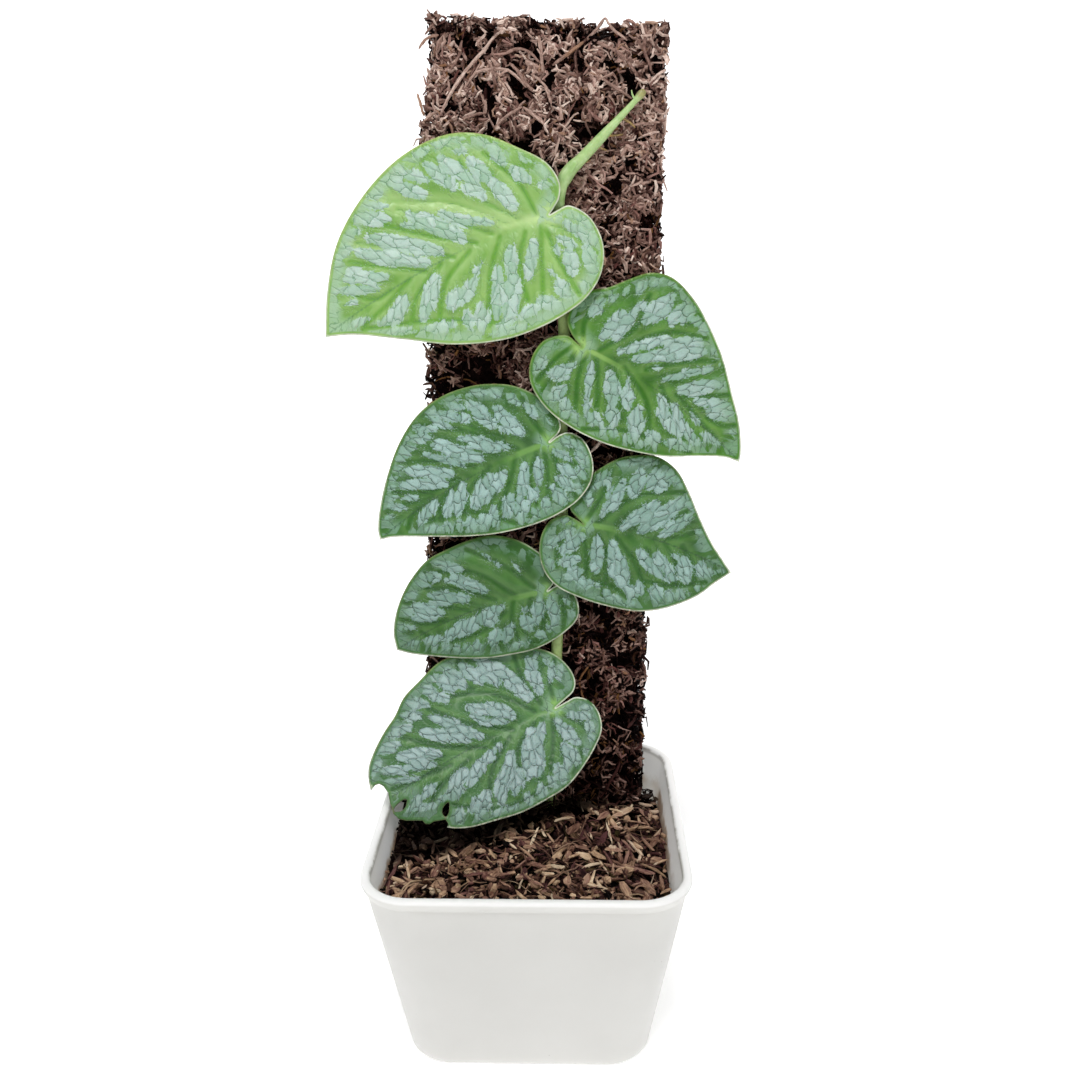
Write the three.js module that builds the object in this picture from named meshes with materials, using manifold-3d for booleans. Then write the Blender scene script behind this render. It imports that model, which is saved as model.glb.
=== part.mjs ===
// A shingle plant climbing a tree fern board, in a square white pot.
// Millimetres, +Z up, -Y is the front. The origin is the centre of the pot's flat bottom.
import * as THREE from 'three';
import { mergeVertices } from 'three/addons/utils/BufferGeometryUtils.js';
import Module from 'manifold-3d';

const wasm = await Module();
wasm.setup();

// Pot
const POT_HEIGHT = 67.3;
const RIM_HALF = 50;
const BASE_HALF = 38.6;
const RIM_CORNER = 15.4;
const BASE_CORNER = 14.4;
const WALL = 2;
const FLOOR = 2.2;
const BAND_HEIGHT = 3.5;
const BAND_PROUD = 0.75;
const LIP_WIDTH = 3;
const HOLE_RADIUS = 3.5;
const HOLE_PITCH = 40;
const CORNER_STEPS = 6;

// Potting mix
const SOIL_MEAN = 56.2;
const SOIL_RINGS = 9;
const CHIPS = 62;
const TOUCH = 0.3;
const POCKET_GAP = 0.4;
const POCKET_TOP = 30;

// Fern board, which leans back and a little to the right, in its own frame:
// x across the board, z up along it, -y out of its front face, z = 0 at the pot's rim
const BOARD_AT = new THREE.Vector3(1.6, 24, POT_HEIGHT);
const BOARD_LEAN = THREE.MathUtils.degToRad(6.34);
const BOARD_TURN = THREE.MathUtils.degToRad(1.4);
const BOARD_LEFT = -38.6;
const BOARD_RIGHT = 36.6;
const BOARD_TOP = 247.5;
const BOARD_BOTTOM = -43;
const BOARD_THICK = 15;
const BOARD_ROUGH = 1.1;
const BOARD_LEVEL = 9.4;
const SOIL_LINE = -9;
const ROOTLETS = 68;
const ROOTLET_SUNK = 3.5;
const ROOTLET_LENGTH = 11;
const VINE_STRIP = [-8, 36];

// Vine
const STEM_RADIUS = 1.9;
const ROOT_RADIUS = 0.55;
const PETIOLE_RADIUS = 1.05;

// Leaves
const BLADE = 0.8;
const MARGIN_STEP = 3.4;
const RIB_DEPTH = 0.7;
const QUILT = 0.45;
const DOME = 0.9;
const LATERALS = 5;
const SHEET_COLUMNS = [-52, -36, -25, -15, -6.5, 0, 6.5, 15, 25, 36, 52];
const SHEET_START = -0.62;
const SHEET_END = 1.13;
const PRISM_DEPTH = 16;

function seeded(seed) {
  let state = seed >>> 0;
  return () => {
    state = (state + 0x6d2b79f5) >>> 0;
    let t = state;
    t = Math.imul(t ^ (t >>> 15), t | 1);
    t ^= t + Math.imul(t ^ (t >>> 7), t | 61);
    return ((t ^ (t >>> 14)) >>> 0) / 4294967296;
  };
}

function mix(a, b, t) {
  return a + (b - a) * t;
}

// Closed geometry and solids

function geometryOf(positions, triangles) {
  const geometry = new THREE.BufferGeometry();
  geometry.setAttribute('position', new THREE.Float32BufferAttribute(positions, 3));
  geometry.setIndex(triangles);
  return geometry;
}

function solidOf(geometry) {
  const bare = geometry.clone();
  bare.deleteAttribute('normal');
  bare.deleteAttribute('uv');
  const merged = mergeVertices(bare, 1e-4);
  return new wasm.Manifold(new wasm.Mesh({
    numProp: 3,
    vertProperties: Float32Array.from(merged.attributes.position.array),
    triVerts: Uint32Array.from(merged.index.array),
  }));
}

function geometryFrom(solid) {
  const mesh = solid.getMesh();
  return geometryOf(Array.from(mesh.vertProperties), Array.from(mesh.triVerts));
}

function largestPiece(solid) {
  return solid.decompose().reduce((best, piece) => (piece.volume() > best.volume() ? piece : best));
}

// A skin over a stack of rings with equal point counts, closed by a fan at each end
function loft(rings) {
  const count = rings[0].length;
  const positions = rings.flat().flatMap((p) => [p.x, p.y, p.z]);
  const triangles = [];
  for (let r = 0; r + 1 < rings.length; r += 1) {
    for (let i = 0; i < count; i += 1) {
      const a = r * count + i;
      const b = r * count + ((i + 1) % count);
      triangles.push(a, b, b + count, a, b + count, a + count);
    }
  }
  for (const [ring, last] of [[0, false], [rings.length - 1, true]]) {
    const centre = rings[ring].reduce((sum, p) => sum.add(p), new THREE.Vector3()).divideScalar(count);
    const hub = positions.length / 3;
    positions.push(centre.x, centre.y, centre.z);
    for (let i = 0; i < count; i += 1) {
      const a = ring * count + i;
      const b = ring * count + ((i + 1) % count);
      triangles.push(hub, ...(last ? [a, b] : [b, a]));
    }
  }
  return geometryOf(positions, triangles);
}

// A tapering round body along a smooth path, with its own radius at each given point
function taperedTube(points, radii, sides, steps) {
  const curve = new THREE.CatmullRomCurve3(points, false, 'centripetal');
  const frames = curve.computeFrenetFrames(steps, false);
  const rings = [];
  for (let s = 0; s <= steps; s += 1) {
    const centre = curve.getPointAt(s / steps);
    const place = curve.getUtoTmapping(s / steps) * (radii.length - 1);
    const low = Math.min(Math.floor(place), radii.length - 2);
    const radius = mix(radii[low], radii[low + 1], place - low);
    const ring = [];
    for (let i = 0; i < sides; i += 1) {
      const angle = (2 * Math.PI * i) / sides;
      ring.push(centre.clone()
        .addScaledVector(frames.normals[s], radius * Math.cos(angle))
        .addScaledVector(frames.binormals[s], radius * Math.sin(angle)));
    }
    rings.push(ring);
  }
  return loft(rings);
}

// Pot

// Half width and corner radius of the pot's outer wall at a height
function wallHalf(z) {
  return mix(BASE_HALF, RIM_HALF - BAND_PROUD, z / POT_HEIGHT);
}

function cornerRadius(z) {
  return mix(BASE_CORNER, RIM_CORNER, z / POT_HEIGHT);
}

function squareRing(half, corner, z) {
  const ring = [];
  for (let quarter = 0; quarter < 4; quarter += 1) {
    const sx = quarter === 0 || quarter === 3 ? 1 : -1;
    const sy = quarter < 2 ? 1 : -1;
    for (let k = 0; k <= CORNER_STEPS; k += 1) {
      const angle = (quarter + k / CORNER_STEPS) * (Math.PI / 2);
      ring.push(new THREE.Vector3(
        sx * (half - corner) + corner * Math.cos(angle),
        sy * (half - corner) + corner * Math.sin(angle),
        z,
      ));
    }
  }
  return ring;
}

function innerRing(z, inset) {
  return squareRing(wallHalf(z) - WALL - inset, cornerRadius(z) - WALL - inset, z);
}

function makePot() {
  const band = POT_HEIGHT - BAND_HEIGHT;
  const outside = [
    [BASE_HALF - 1.2, 0],
    [BASE_HALF - 0.3, 0.4],
    [wallHalf(1.5), 1.5],
    [wallHalf(band), band],
    [wallHalf(band) + BAND_PROUD, band + 0.4],
    [RIM_HALF, POT_HEIGHT - 1.2],
    [RIM_HALF - 0.4, POT_HEIGHT - 0.4],
    [RIM_HALF - 1.3, POT_HEIGHT],
    [RIM_HALF - LIP_WIDTH + 0.8, POT_HEIGHT],
    [RIM_HALF - LIP_WIDTH, POT_HEIGHT - 0.6],
  ];
  const rings = outside.map(([half, z]) => squareRing(half, cornerRadius(z) - (wallHalf(z) - half), z));
  rings.push(innerRing(POT_HEIGHT - 2, 0));
  rings.push(innerRing(FLOOR + 1.2, 0));
  rings.push(innerRing(FLOOR, 1));
  let pot = solidOf(loft(rings));
  for (const [sx, sy] of [[1, 1], [-1, 1], [-1, -1], [1, -1]]) {
    const drain = new THREE.CylinderGeometry(HOLE_RADIUS, HOLE_RADIUS, 12, 12);
    drain.rotateX(Math.PI / 2);
    drain.translate((sx * HOLE_PITCH) / 2, (sy * HOLE_PITCH) / 2, 0);
    pot = pot.subtract(solidOf(drain));
  }
  return geometryFrom(pot);
}

// The board's frame

const boardMatrix = new THREE.Matrix4().compose(
  BOARD_AT,
  new THREE.Quaternion().setFromEuler(new THREE.Euler(-BOARD_LEAN, BOARD_TURN, 0, 'YXZ')),
  new THREE.Vector3(1, 1, 1),
);

// A point on the board: across, up along it, and out in front of its face
function onBoard(u, h, out) {
  return new THREE.Vector3(u, -out, h);
}

// The vine's route up the board and into its young shoot, with its radius at each point
const VINE = [
  [4.5, -20, 2.4, 1.8],
  [5, -4, 2.4, 1.9],
  [5.5, 18, 2.4, 1.9],
  [6, 45, 2.4, STEM_RADIUS],
  [6.3, 72, 2.4, STEM_RADIUS],
  [7, 92, 2.4, STEM_RADIUS],
  [6.2, 112, 2.4, STEM_RADIUS],
  [6.3, 138, 2.4, STEM_RADIUS],
  [6.2, 157, 2.4, STEM_RADIUS],
  [5.4, 176, 2.5, STEM_RADIUS],
  [4.6, 190, 2.6, 1.8],
  [6, 200.5, 3, 2.2],
  [10.6, 207, 3.2, 2.2],
  [16.3, 213, 3.2, 1.9],
  [22.8, 220, 2.8, 1.4],
  [27.4, 225, 2.6, 1.2],
  [28.8, 226.6, 2.6, 1.3],
  [29.8, 227.6, 2.6, 0.7],
];

// Heights of the vine's nodes, where it thickens and roots into the board
const NODES = [20, 58, 84, 108, 140, 182];

function vinePoint(height) {
  const above = VINE.findIndex((p) => p[1] > height);
  const [low, high] = [VINE[above - 1], VINE[above]];
  const t = (height - low[1]) / (high[1] - low[1]);
  return { u: mix(low[0], high[0], t), out: mix(low[2], high[2], t) };
}

function makeVine() {
  const points = VINE.map(([u, h, out]) => onBoard(u, h, out));
  let vine = solidOf(taperedTube(points, VINE.map((p) => p[3]), 8, 46));
  const random = seeded(11);
  for (const height of NODES) {
    const { u, out } = vinePoint(height);
    const ring = new THREE.SphereGeometry(1, 8, 4);
    ring.scale(STEM_RADIUS + 0.22, STEM_RADIUS + 0.15, 2.2);
    ring.translate(u, -out, height);
    vine = vine.add(solidOf(ring));
    for (const side of [-1, 1]) {
      const reach = mix(5, 9, random());
      const drop = mix(-4, 2, random());
      const root = [
        onBoard(u, height - 0.5, out - 0.3),
        onBoard(u + side * reach * 0.45, height + drop * 0.3, 1.7),
        onBoard(u + side * reach, height + drop, 0.95),
      ];
      vine = vine.add(solidOf(taperedTube(root, [ROOT_RADIUS + 0.1, ROOT_RADIUS, 0.45], 4, 3)));
    }
  }
  const spike = [onBoard(26.6, 224.2, 3), onBoard(25.6, 226.4, 3.4), onBoard(25.2, 228.6, 3.6)];
  vine = vine.add(solidOf(taperedTube(spike, [0.6, 0.5, 0.3], 5, 3)));
  return geometryFrom(largestPiece(vine));
}

// Board

// How far the board's face is pitted at a place, from 0 to 1
function pitting(u, h, y) {
  return 0.5 + 0.25 * (Math.sin(u * 0.9 + h * 0.37) + Math.sin(u * 0.43 - h * 0.71 + y));
}

// One level of the board's section, its faces pitted up to BOARD_ROUGH deep above the soil
function boardRing(h) {
  const wide = 8;
  const deep = 2;
  const bare = h > SOIL_LINE ? BOARD_ROUGH : 0;
  const ring = [];
  const sides = [
    [BOARD_LEFT, 0, 1, 0, wide],
    [BOARD_RIGHT, 0, 0, 1, deep],
    [BOARD_RIGHT, BOARD_THICK, -1, 0, wide],
    [BOARD_LEFT, BOARD_THICK, 0, -1, deep],
  ];
  for (const [u0, y0, du, dy, count] of sides) {
    const length = du !== 0 ? BOARD_RIGHT - BOARD_LEFT : BOARD_THICK;
    for (let i = 0; i < count; i += 1) {
      const u = u0 + (du * length * i) / count;
      const y = y0 + (dy * length * i) / count;
      const pit = bare * pitting(u, h, y);
      const inU = dy !== 0 || i === 0 ? Math.sign(BOARD_LEFT + BOARD_RIGHT - 2 * u) : 0;
      const inY = du !== 0 || i === 0 ? Math.sign(BOARD_THICK / 2 - y) : 0;
      ring.push(new THREE.Vector3(u + inU * pit, y + inY * pit, h));
    }
  }
  return ring;
}

// Rootlets that stand out of the board's long edges, its top and its faces, as [root, tip]
function edgeRootlet(random) {
  const side = random() < 0.5 ? -1 : 1;
  const edge = side < 0 ? BOARD_LEFT : BOARD_RIGHT;
  const h = mix(4, BOARD_TOP - 3, random());
  const y = mix(2.5, BOARD_THICK - 2.5, random());
  const out = mix(0.8, 3.2, random() ** 2);
  return [
    new THREE.Vector3(edge - side * ROOTLET_SUNK, y, h),
    new THREE.Vector3(edge + side * out, y + mix(-2, 2, random()), h + mix(-5, 5, random())),
  ];
}

function topRootlet(random) {
  const u = mix(BOARD_LEFT + 4, BOARD_RIGHT - 4, random());
  const y = mix(2.5, BOARD_THICK - 2.5, random());
  const up = mix(0.5, 2.4, random());
  return [
    new THREE.Vector3(u, y, BOARD_TOP - ROOTLET_SUNK),
    new THREE.Vector3(u + mix(-5, 5, random()), y + mix(-2, 2, random()), BOARD_TOP + up),
  ];
}

function faceRootlet(random, front) {
  const u = mix(BOARD_LEFT + 4.5, BOARD_RIGHT - 4.5, random());
  const h = mix(front ? 150 : 6, BOARD_TOP - 12, random());
  const lie = mix(0, Math.PI, random());
  const sunk = front ? 2.6 : BOARD_THICK - 2.6;
  const proud = front ? -0.9 : BOARD_THICK + mix(0.3, 1.2, random());
  return [
    new THREE.Vector3(u, sunk, h),
    new THREE.Vector3(u + ROOTLET_LENGTH * Math.cos(lie), proud, h + ROOTLET_LENGTH * Math.sin(lie)),
  ];
}

// On the front face they keep off the strip where the vine, its roots and the leaf stalks lie
function crossesVine([root, tip]) {
  const low = Math.min(root.x, tip.x);
  const high = Math.max(root.x, tip.x);
  return high > VINE_STRIP[0] && low < VINE_STRIP[1];
}

function makeBoard() {
  const levels = [BOARD_BOTTOM, SOIL_LINE];
  for (let h = SOIL_LINE + 5; h < BOARD_TOP - 4; h += BOARD_LEVEL) {
    levels.push(h);
  }
  levels.push(BOARD_TOP);
  const random = seeded(29);
  const rootlets = [];
  for (let i = 0; i < ROOTLETS; i += 1) {
    rootlets.push(edgeRootlet(random));
    if (i % 3 === 0) {
      rootlets.push(topRootlet(random));
      rootlets.push(faceRootlet(random, false));
      const lying = faceRootlet(random, true);
      if (!crossesVine(lying)) {
        rootlets.push(lying);
      }
    }
  }
  const board = rootlets.reduce((body, rootlet) => {
    const radius = mix(0.45, 0.75, random());
    return body.add(solidOf(taperedTube(rootlet, [radius + 0.2, radius], 4, 1)));
  }, solidOf(loft(levels.map(boardRing))));
  return geometryFrom(largestPiece(board));
}

// Potting mix

// Its surface is mounded in front of the board and sinks towards the back and right walls
function soilHeight(x, y) {
  const mound = 3.6 * Math.exp(-(((y - 14) / 16) ** 2) - ((x - 4) / 34) ** 2);
  const fall = -1.8 * THREE.MathUtils.smoothstep(x, 10, 46) - 2.4 * THREE.MathUtils.smoothstep(y, 18, 44);
  const front = 1.2 * THREE.MathUtils.smoothstep(-y, 10, 44);
  const lumps = 0.55 * (Math.sin(x * 0.61 + y * 0.23) + Math.sin(y * 0.53 - x * 0.29 + 2));
  return SOIL_MEAN + mound + fall + front + lumps;
}

function makeSoilBody() {
  const rings = [innerRing(FLOOR + TOUCH, 1 + TOUCH), innerRing(FLOOR + 1.5, TOUCH)];
  for (let k = SOIL_RINGS; k > 0; k -= 1) {
    const scale = k / SOIL_RINGS;
    rings.push(innerRing(SOIL_MEAN, TOUCH).map((p) => {
      const z = soilHeight(p.x * scale, p.y * scale);
      const grow = (wallHalf(z) - WALL - TOUCH) / (wallHalf(SOIL_MEAN) - WALL - TOUCH);
      return new THREE.Vector3(p.x * scale * grow, p.y * scale * grow, z);
    }));
  }
  return solidOf(loft(rings));
}

function makeChips(soil) {
  const random = seeded(53);
  const reach = wallHalf(SOIL_MEAN) - WALL - 3;
  let filled = soil;
  for (let i = 0; i < CHIPS; i += 1) {
    const x = mix(-reach, reach, random());
    const y = mix(-reach, reach, random());
    const chip = new THREE.BoxGeometry(mix(5, 11, random()), mix(2, 4, random()), mix(1.6, 2.6, random()));
    chip.rotateX(mix(-0.5, 0.5, random()));
    chip.rotateY(mix(-0.45, 0.45, random()));
    chip.rotateZ(mix(0, Math.PI, random()));
    chip.translate(x, y, soilHeight(x, y) + mix(-0.2, 0.7, random()));
    filled = filled.add(solidOf(chip));
  }
  return filled;
}

// The board and the vine stand in plain holes in the mix
function makeSoil() {
  const inside = solidOf(loft([innerRing(FLOOR + TOUCH, 1 + TOUCH), innerRing(FLOOR + 1.5, TOUCH),
    innerRing(POT_HEIGHT, TOUCH)]));
  const width = BOARD_RIGHT - BOARD_LEFT + 2 * POCKET_GAP;
  const height = POCKET_TOP - BOARD_BOTTOM + POCKET_GAP;
  const pocket = new THREE.BoxGeometry(width, BOARD_THICK + 2 * POCKET_GAP, height);
  pocket.translate((BOARD_LEFT + BOARD_RIGHT) / 2, BOARD_THICK / 2, POCKET_TOP - height / 2);
  pocket.applyMatrix4(boardMatrix);
  const foot = [onBoard(4.6, -21, 2.4), onBoard(5, -4, 2.4), onBoard(5.3, 8, 2.4)];
  const stemHole = taperedTube(foot, foot.map(() => STEM_RADIUS + POCKET_GAP), 10, 5);
  stemHole.applyMatrix4(boardMatrix);
  const soil = makeChips(makeSoilBody())
    .intersect(inside)
    .subtract(solidOf(pocket))
    .subtract(solidOf(stemHole));
  return geometryFrom(largestPiece(soil));
}

// Leaves

// Each leaf lies in its own flat sheet that hangs in front of the board: x across, y up.
// The sheet meets the height "top" at a distance "off" from the board, and leans out
// from there by "lean" degrees, or bends to "bent" degrees over the first "curl" mm.
// "foot" is the height where its stalk leaves the vine, and "sag" bows its midrib.
// "upper" runs from the stalk round the upper lobe to the tip, "lower" goes back along
// the other side, and "bitten" is the ragged stretch that insects left between them.
const LEAVES = [
  {
    name: 'leaf_1_newest', colour: 0x9fc66b, top: 214.5, off: 5, lean: 3.5, foot: 180, sag: 3.5,
    upper: [[1, 189.5], [2.6, 192], [3.9, 194.5], [4, 199], [0, 205], [-10, 210], [-20, 213.5],
      [-31, 213.5], [-44.5, 207.5], [-57, 195.5], [-66, 180], [-69.3, 164.5], [-70, 150.5]],
    lower: [[-70, 150.5], [-61, 151.3], [-44, 150], [-29, 148.8], [-14.5, 150.2], [-4.5, 153.2],
      [6, 158.5], [13.5, 164.5], [17.8, 172], [18, 181], [13.5, 189], [7, 192.4], [3.6, 191], [1, 189.5]],
  },
  {
    name: 'leaf_2', colour: 0x6f9e4c, top: 172.5, off: 4.2, lean: 3.5, foot: 140, sag: 3,
    upper: [[12, 148.8], [9.6, 151.5], [8.1, 154], [7.2, 157], [8, 160.5], [10.5, 164], [15, 166.8],
      [20, 167.6], [26, 170], [33.5, 172.4], [40, 171.2], [47, 165], [52.5, 156.5], [57.2, 146.5],
      [60.7, 135], [63.4, 125.5], [64.4, 116.5], [64, 112.8]],
    lower: [[64, 112.8], [59.5, 114.2], [50.5, 114.4], [40, 114.1], [30, 115.5], [20, 118], [9, 123],
      [1, 129], [-3.8, 136], [-4.7, 141], [-3.5, 146.2], [0, 150.7], [4.4, 152.3], [7.6, 152.2],
      [9.8, 150.6], [12, 148.8]],
  },
  {
    name: 'leaf_3', colour: 0x5f9148, top: 136.8, off: 4.6, lean: 3.5, foot: 108, sag: 3,
    upper: [[2.3, 118], [5.2, 121], [5.9, 123], [4.5, 127], [1, 131], [-3, 133.5], [-9.7, 136],
      [-16, 136.5], [-23.5, 135.7], [-33.5, 132], [-41, 126], [-46.7, 117.3], [-50.4, 107.5],
      [-53.1, 96.5], [-54, 88.5], [-53.4, 84.6]],
    lower: [[-53.4, 84.6], [-49, 85.6], [-37.5, 86], [-24.5, 86.4], [-13.5, 87.7], [-2.3, 90.8],
      [6, 94.6], [12.6, 99.7], [16.3, 105.8], [16.6, 112.2], [13.3, 119], [8.5, 121.3], [5.2, 120.2],
      [2.3, 118]],
  },
  {
    name: 'leaf_4', colour: 0x5f9148, top: 114.3, off: 4.2, lean: 3.5, foot: 84, sag: 2.5,
    upper: [[14, 91], [11.8, 93.2], [9.7, 95.6], [9.2, 98.5], [11, 102], [14.5, 106], [19.8, 110],
      [25.3, 113], [32, 114.2], [38, 113.7], [44, 109.7], [48, 103.4], [52, 94.6], [56.4, 86],
      [60.8, 79.5], [63.4, 75.9]],
    lower: [[63.4, 75.9], [58.3, 72.4], [52.7, 68], [46.6, 65], [40, 62.9], [33, 62.1], [25, 63.1],
      [14, 66.1], [5.6, 70], [1.3, 75], [-0.4, 81], [0.2, 87.2], [3.1, 92], [7.8, 93.9], [10.5, 93],
      [14, 91]],
  },
  {
    name: 'leaf_5', colour: 0x5b8d46, top: 86.5, off: 4, lean: 3.5, foot: 58, sag: 3,
    upper: [[2.5, 67.8], [4.5, 70.6], [4.9, 73.6], [3, 77.8], [-0.7, 81], [-7.3, 84.7], [-15.7, 86.4],
      [-22.3, 85.2], [-32, 81], [-38, 77.5], [-43, 71.5], [-46.3, 65.5], [-48.6, 58.5], [-49.3, 52],
      [-48.2, 46.4]],
    lower: [[-48.2, 46.4], [-43, 45.3], [-35, 44.6], [-26, 44.2], [-17, 44.5], [-9.5, 45.8],
      [-2.2, 47.6], [3.8, 50.5], [9.3, 54.6], [12.7, 58.6], [13.2, 62.5], [11.8, 66.8], [9, 69.8],
      [6.8, 70.3], [4.8, 69.4], [2.5, 67.8]],
  },
  {
    name: 'leaf_6_oldest', colour: 0x568a4a, top: 48, off: 4.2, lean: 4, bent: 31, curl: 18, foot: 20,
    sag: 2, apex: [-51.5, -7],
    upper: [[6, 27.3], [9.9, 30.9], [11.9, 33], [12.6, 36], [11.2, 40], [7, 44.5], [1.5, 47.2],
      [-8, 48.2], [-18, 47.4], [-27, 45], [-34, 42], [-40.8, 35], [-45.4, 29.5], [-48, 23],
      [-51, 17.8], [-53.8, 11.5], [-55.3, 6], [-55.1, 2], [-54.1, -1.6]],
    bitten: [[-52.9, 0.1], [-51.6, 0.6], [-50, -0.2], [-48.3, -2.3], [-47.4, -5.5], [-46.1, -8.9],
      [-44.2, -10.5], [-41.8, -11], [-36.4, -10.8], [-35.4, -11.9], [-34, -11.9], [-32.6, -11],
      [-28.9, -10.3], [-27.9, -11.6]],
    lower: [[-28.2, -12.8], [-25, -13], [-20, -12.4], [-12, -10], [-4.2, -7.4], [4.8, -2.5],
      [10.5, 1.4], [15.8, 8], [19.8, 15], [21.7, 20.5], [20.6, 26.2], [17, 30.3], [12.8, 31.2],
      [9.9, 29.7], [6, 27.3]],
    holes: [[-43.8, -6.4, 2.6, 1.3, 45], [-28.9, -7.2, 2.2, 1.1, 80]],
  },
];

// From a leaf's flat sheet to the board's frame, with "lift" mm out of the sheet
function fromSheet(leaf, x, y, lift) {
  const first = THREE.MathUtils.degToRad(leaf.lean);
  const last = THREE.MathUtils.degToRad(leaf.bent ?? leaf.lean);
  const curl = leaf.curl ?? 0;
  const down = leaf.top - y;
  const bend = curl > 0 ? (last - first) / curl : 0;
  const along = THREE.MathUtils.clamp(down, 0, curl);
  const angle = first + bend * along;
  let fall = (down - along) * Math.cos(angle);
  let out = leaf.off + (down - along) * Math.sin(angle);
  if (bend > 0) {
    fall += (Math.sin(angle) - Math.sin(first)) / bend;
    out += (Math.cos(first) - Math.cos(angle)) / bend;
  }
  return onBoard(x, leaf.top - fall + lift * Math.sin(angle), out + lift * Math.cos(angle));
}

function smooth(points) {
  const curve = new THREE.CatmullRomCurve3(points.map(([x, y]) => new THREE.Vector3(x, y, 0)), false,
    'centripetal');
  const steps = Math.round(curve.getLength() / MARGIN_STEP);
  return curve.getSpacedPoints(steps).map((p) => new THREE.Vector2(p.x, p.y));
}

function marginOf(leaf) {
  const upper = smooth(leaf.upper);
  const lower = smooth(leaf.lower).slice(leaf.bitten ? 0 : 1, -1);
  const bitten = (leaf.bitten ?? []).map(([x, y]) => new THREE.Vector2(x, y));
  return [...upper, ...bitten, ...lower];
}

// A leaf's own axes: from the stalk to the tip, with the midrib bowed by "sag"
function ribAxes(leaf) {
  const base = new THREE.Vector2(...leaf.upper[0]);
  const tip = new THREE.Vector2(...(leaf.apex ?? leaf.lower[0]));
  const along = tip.clone().sub(base);
  const length = along.length();
  along.divideScalar(length);
  const up = along.x < 0 ? -1 : 1;
  const across = new THREE.Vector2(-along.y * up, along.x * up);
  return { base, length, along, across };
}

// Side veins leave the midrib square near the stalk and lean towards the tip beyond it
function fan(s) {
  return mix(-0.15, 0.85, THREE.MathUtils.clamp((s + 0.35) / 1.35, 0, 1));
}

// The blade's relief: sunken midrib and side veins, with the panels between them raised
function relief(s, t, panel) {
  const side = Math.abs(t);
  const body = Math.exp(-(((s - 0.3) / 0.62) ** 2)) * Math.exp(-((side / 26) ** 2));
  const rib = -RIB_DEPTH * Math.exp(-((side / 4) ** 2)) * THREE.MathUtils.clamp(1.1 - s, 0, 1);
  return DOME * body + rib + QUILT * panel * body;
}

// A thin wavy sheet laid out along the midrib and the side veins, alike on both faces
function waveSheet(leaf) {
  const { base, length, along, across } = ribAxes(leaf);
  const ts = SHEET_COLUMNS;
  const rows = 2 * LATERALS + 5;
  const positions = [];
  const triangles = [];
  const columns = ts.length;
  const count = (rows + 1) * columns;
  for (const face of [-1, 1]) {
    for (let r = 0; r <= rows; r += 1) {
      const s = mix(SHEET_START, SHEET_END, r / rows);
      for (const t of ts) {
        const bow = 4 * leaf.sag * s * (1 - s);
        const run = s * length + Math.abs(t) * fan(s);
        const x = base.x + along.x * run + across.x * (t + bow);
        const y = base.y + along.y * run + across.y * (t + bow);
        const z = relief(s, t, r % 2 === 0 ? -1 : 1);
        positions.push(x, y, z + (face * BLADE) / 2);
      }
    }
  }
  const turn = along.x < 0;
  const push = (a, b, c) => triangles.push(...(turn ? [a, c, b] : [a, b, c]));
  for (let r = 0; r < rows; r += 1) {
    for (let c = 0; c + 1 < columns; c += 1) {
      const a = r * columns + c;
      const b = a + columns;
      push(a, a + 1, b + 1);
      push(a, b + 1, b);
      push(a + count, b + count + 1, a + count + 1);
      push(a + count, b + count, b + count + 1);
    }
  }
  const rim = [];
  for (let c = 0; c < columns; c += 1) {
    rim.push(c);
  }
  for (let r = 1; r <= rows; r += 1) {
    rim.push(r * columns + columns - 1);
  }
  for (let c = columns - 2; c >= 0; c -= 1) {
    rim.push(rows * columns + c);
  }
  for (let r = rows - 1; r > 0; r -= 1) {
    rim.push(r * columns);
  }
  rim.forEach((a, i) => {
    const b = rim[(i + 1) % rim.length];
    push(a, a + count, b + count);
    push(a, b + count, b);
  });
  return solidOf(geometryOf(positions, triangles));
}

function makeLeaf(leaf) {
  const shape = new THREE.Shape(marginOf(leaf));
  for (const [x, y, long, short, turn] of leaf.holes ?? []) {
    const hole = new THREE.Path();
    hole.absellipse(x, y, long, short, 0, 2 * Math.PI, true, THREE.MathUtils.degToRad(turn));
    shape.holes.push(hole);
  }
  const extrusion = { depth: PRISM_DEPTH, bevelEnabled: false, curveSegments: 4 };
  const prism = new THREE.ExtrudeGeometry(shape, extrusion);
  prism.translate(0, 0, -PRISM_DEPTH / 2);
  const flat = largestPiece(waveSheet(leaf).intersect(solidOf(prism)));
  const geometry = geometryFrom(flat);
  const place = geometry.attributes.position;
  for (let i = 0; i < place.count; i += 1) {
    const p = fromSheet(leaf, place.getX(i), place.getY(i), place.getZ(i));
    place.setXYZ(i, p.x, p.y, p.z);
  }
  return geometryFrom(largestPiece(solidOf(geometry).add(solidOf(makePetiole(leaf)))));
}

// The short stalk, from the side of the vine up behind the blade to its base
function makePetiole(leaf) {
  const { base, along } = ribAxes(leaf);
  const side = Math.sign(along.x);
  const { u, out } = vinePoint(leaf.foot);
  const skin = -RIB_DEPTH - BLADE / 2;
  const start = onBoard(u + side * (STEM_RADIUS + 0.8), leaf.foot, out + 2.4);
  const rise = fromSheet(leaf, base.x + along.x * 0.5, base.y - 3.2, skin - PETIOLE_RADIUS - 0.1);
  const meet = fromSheet(leaf, base.x + along.x * 2, base.y + along.y * 2, skin - 0.3);
  const end = fromSheet(leaf, base.x + along.x * 5, base.y + along.y * 5, skin + 0.25);
  return taperedTube([start, rise, meet, end], [1.1, PETIOLE_RADIUS, 0.85, 0.5], 6, 9);
}

// Assembly

function piece(name, geometry, colour, roughness) {
  const mesh = new THREE.Mesh(
    geometry,
    new THREE.MeshStandardMaterial({ color: colour, roughness, metalness: 0 }),
  );
  mesh.name = name;
  return mesh;
}

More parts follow.
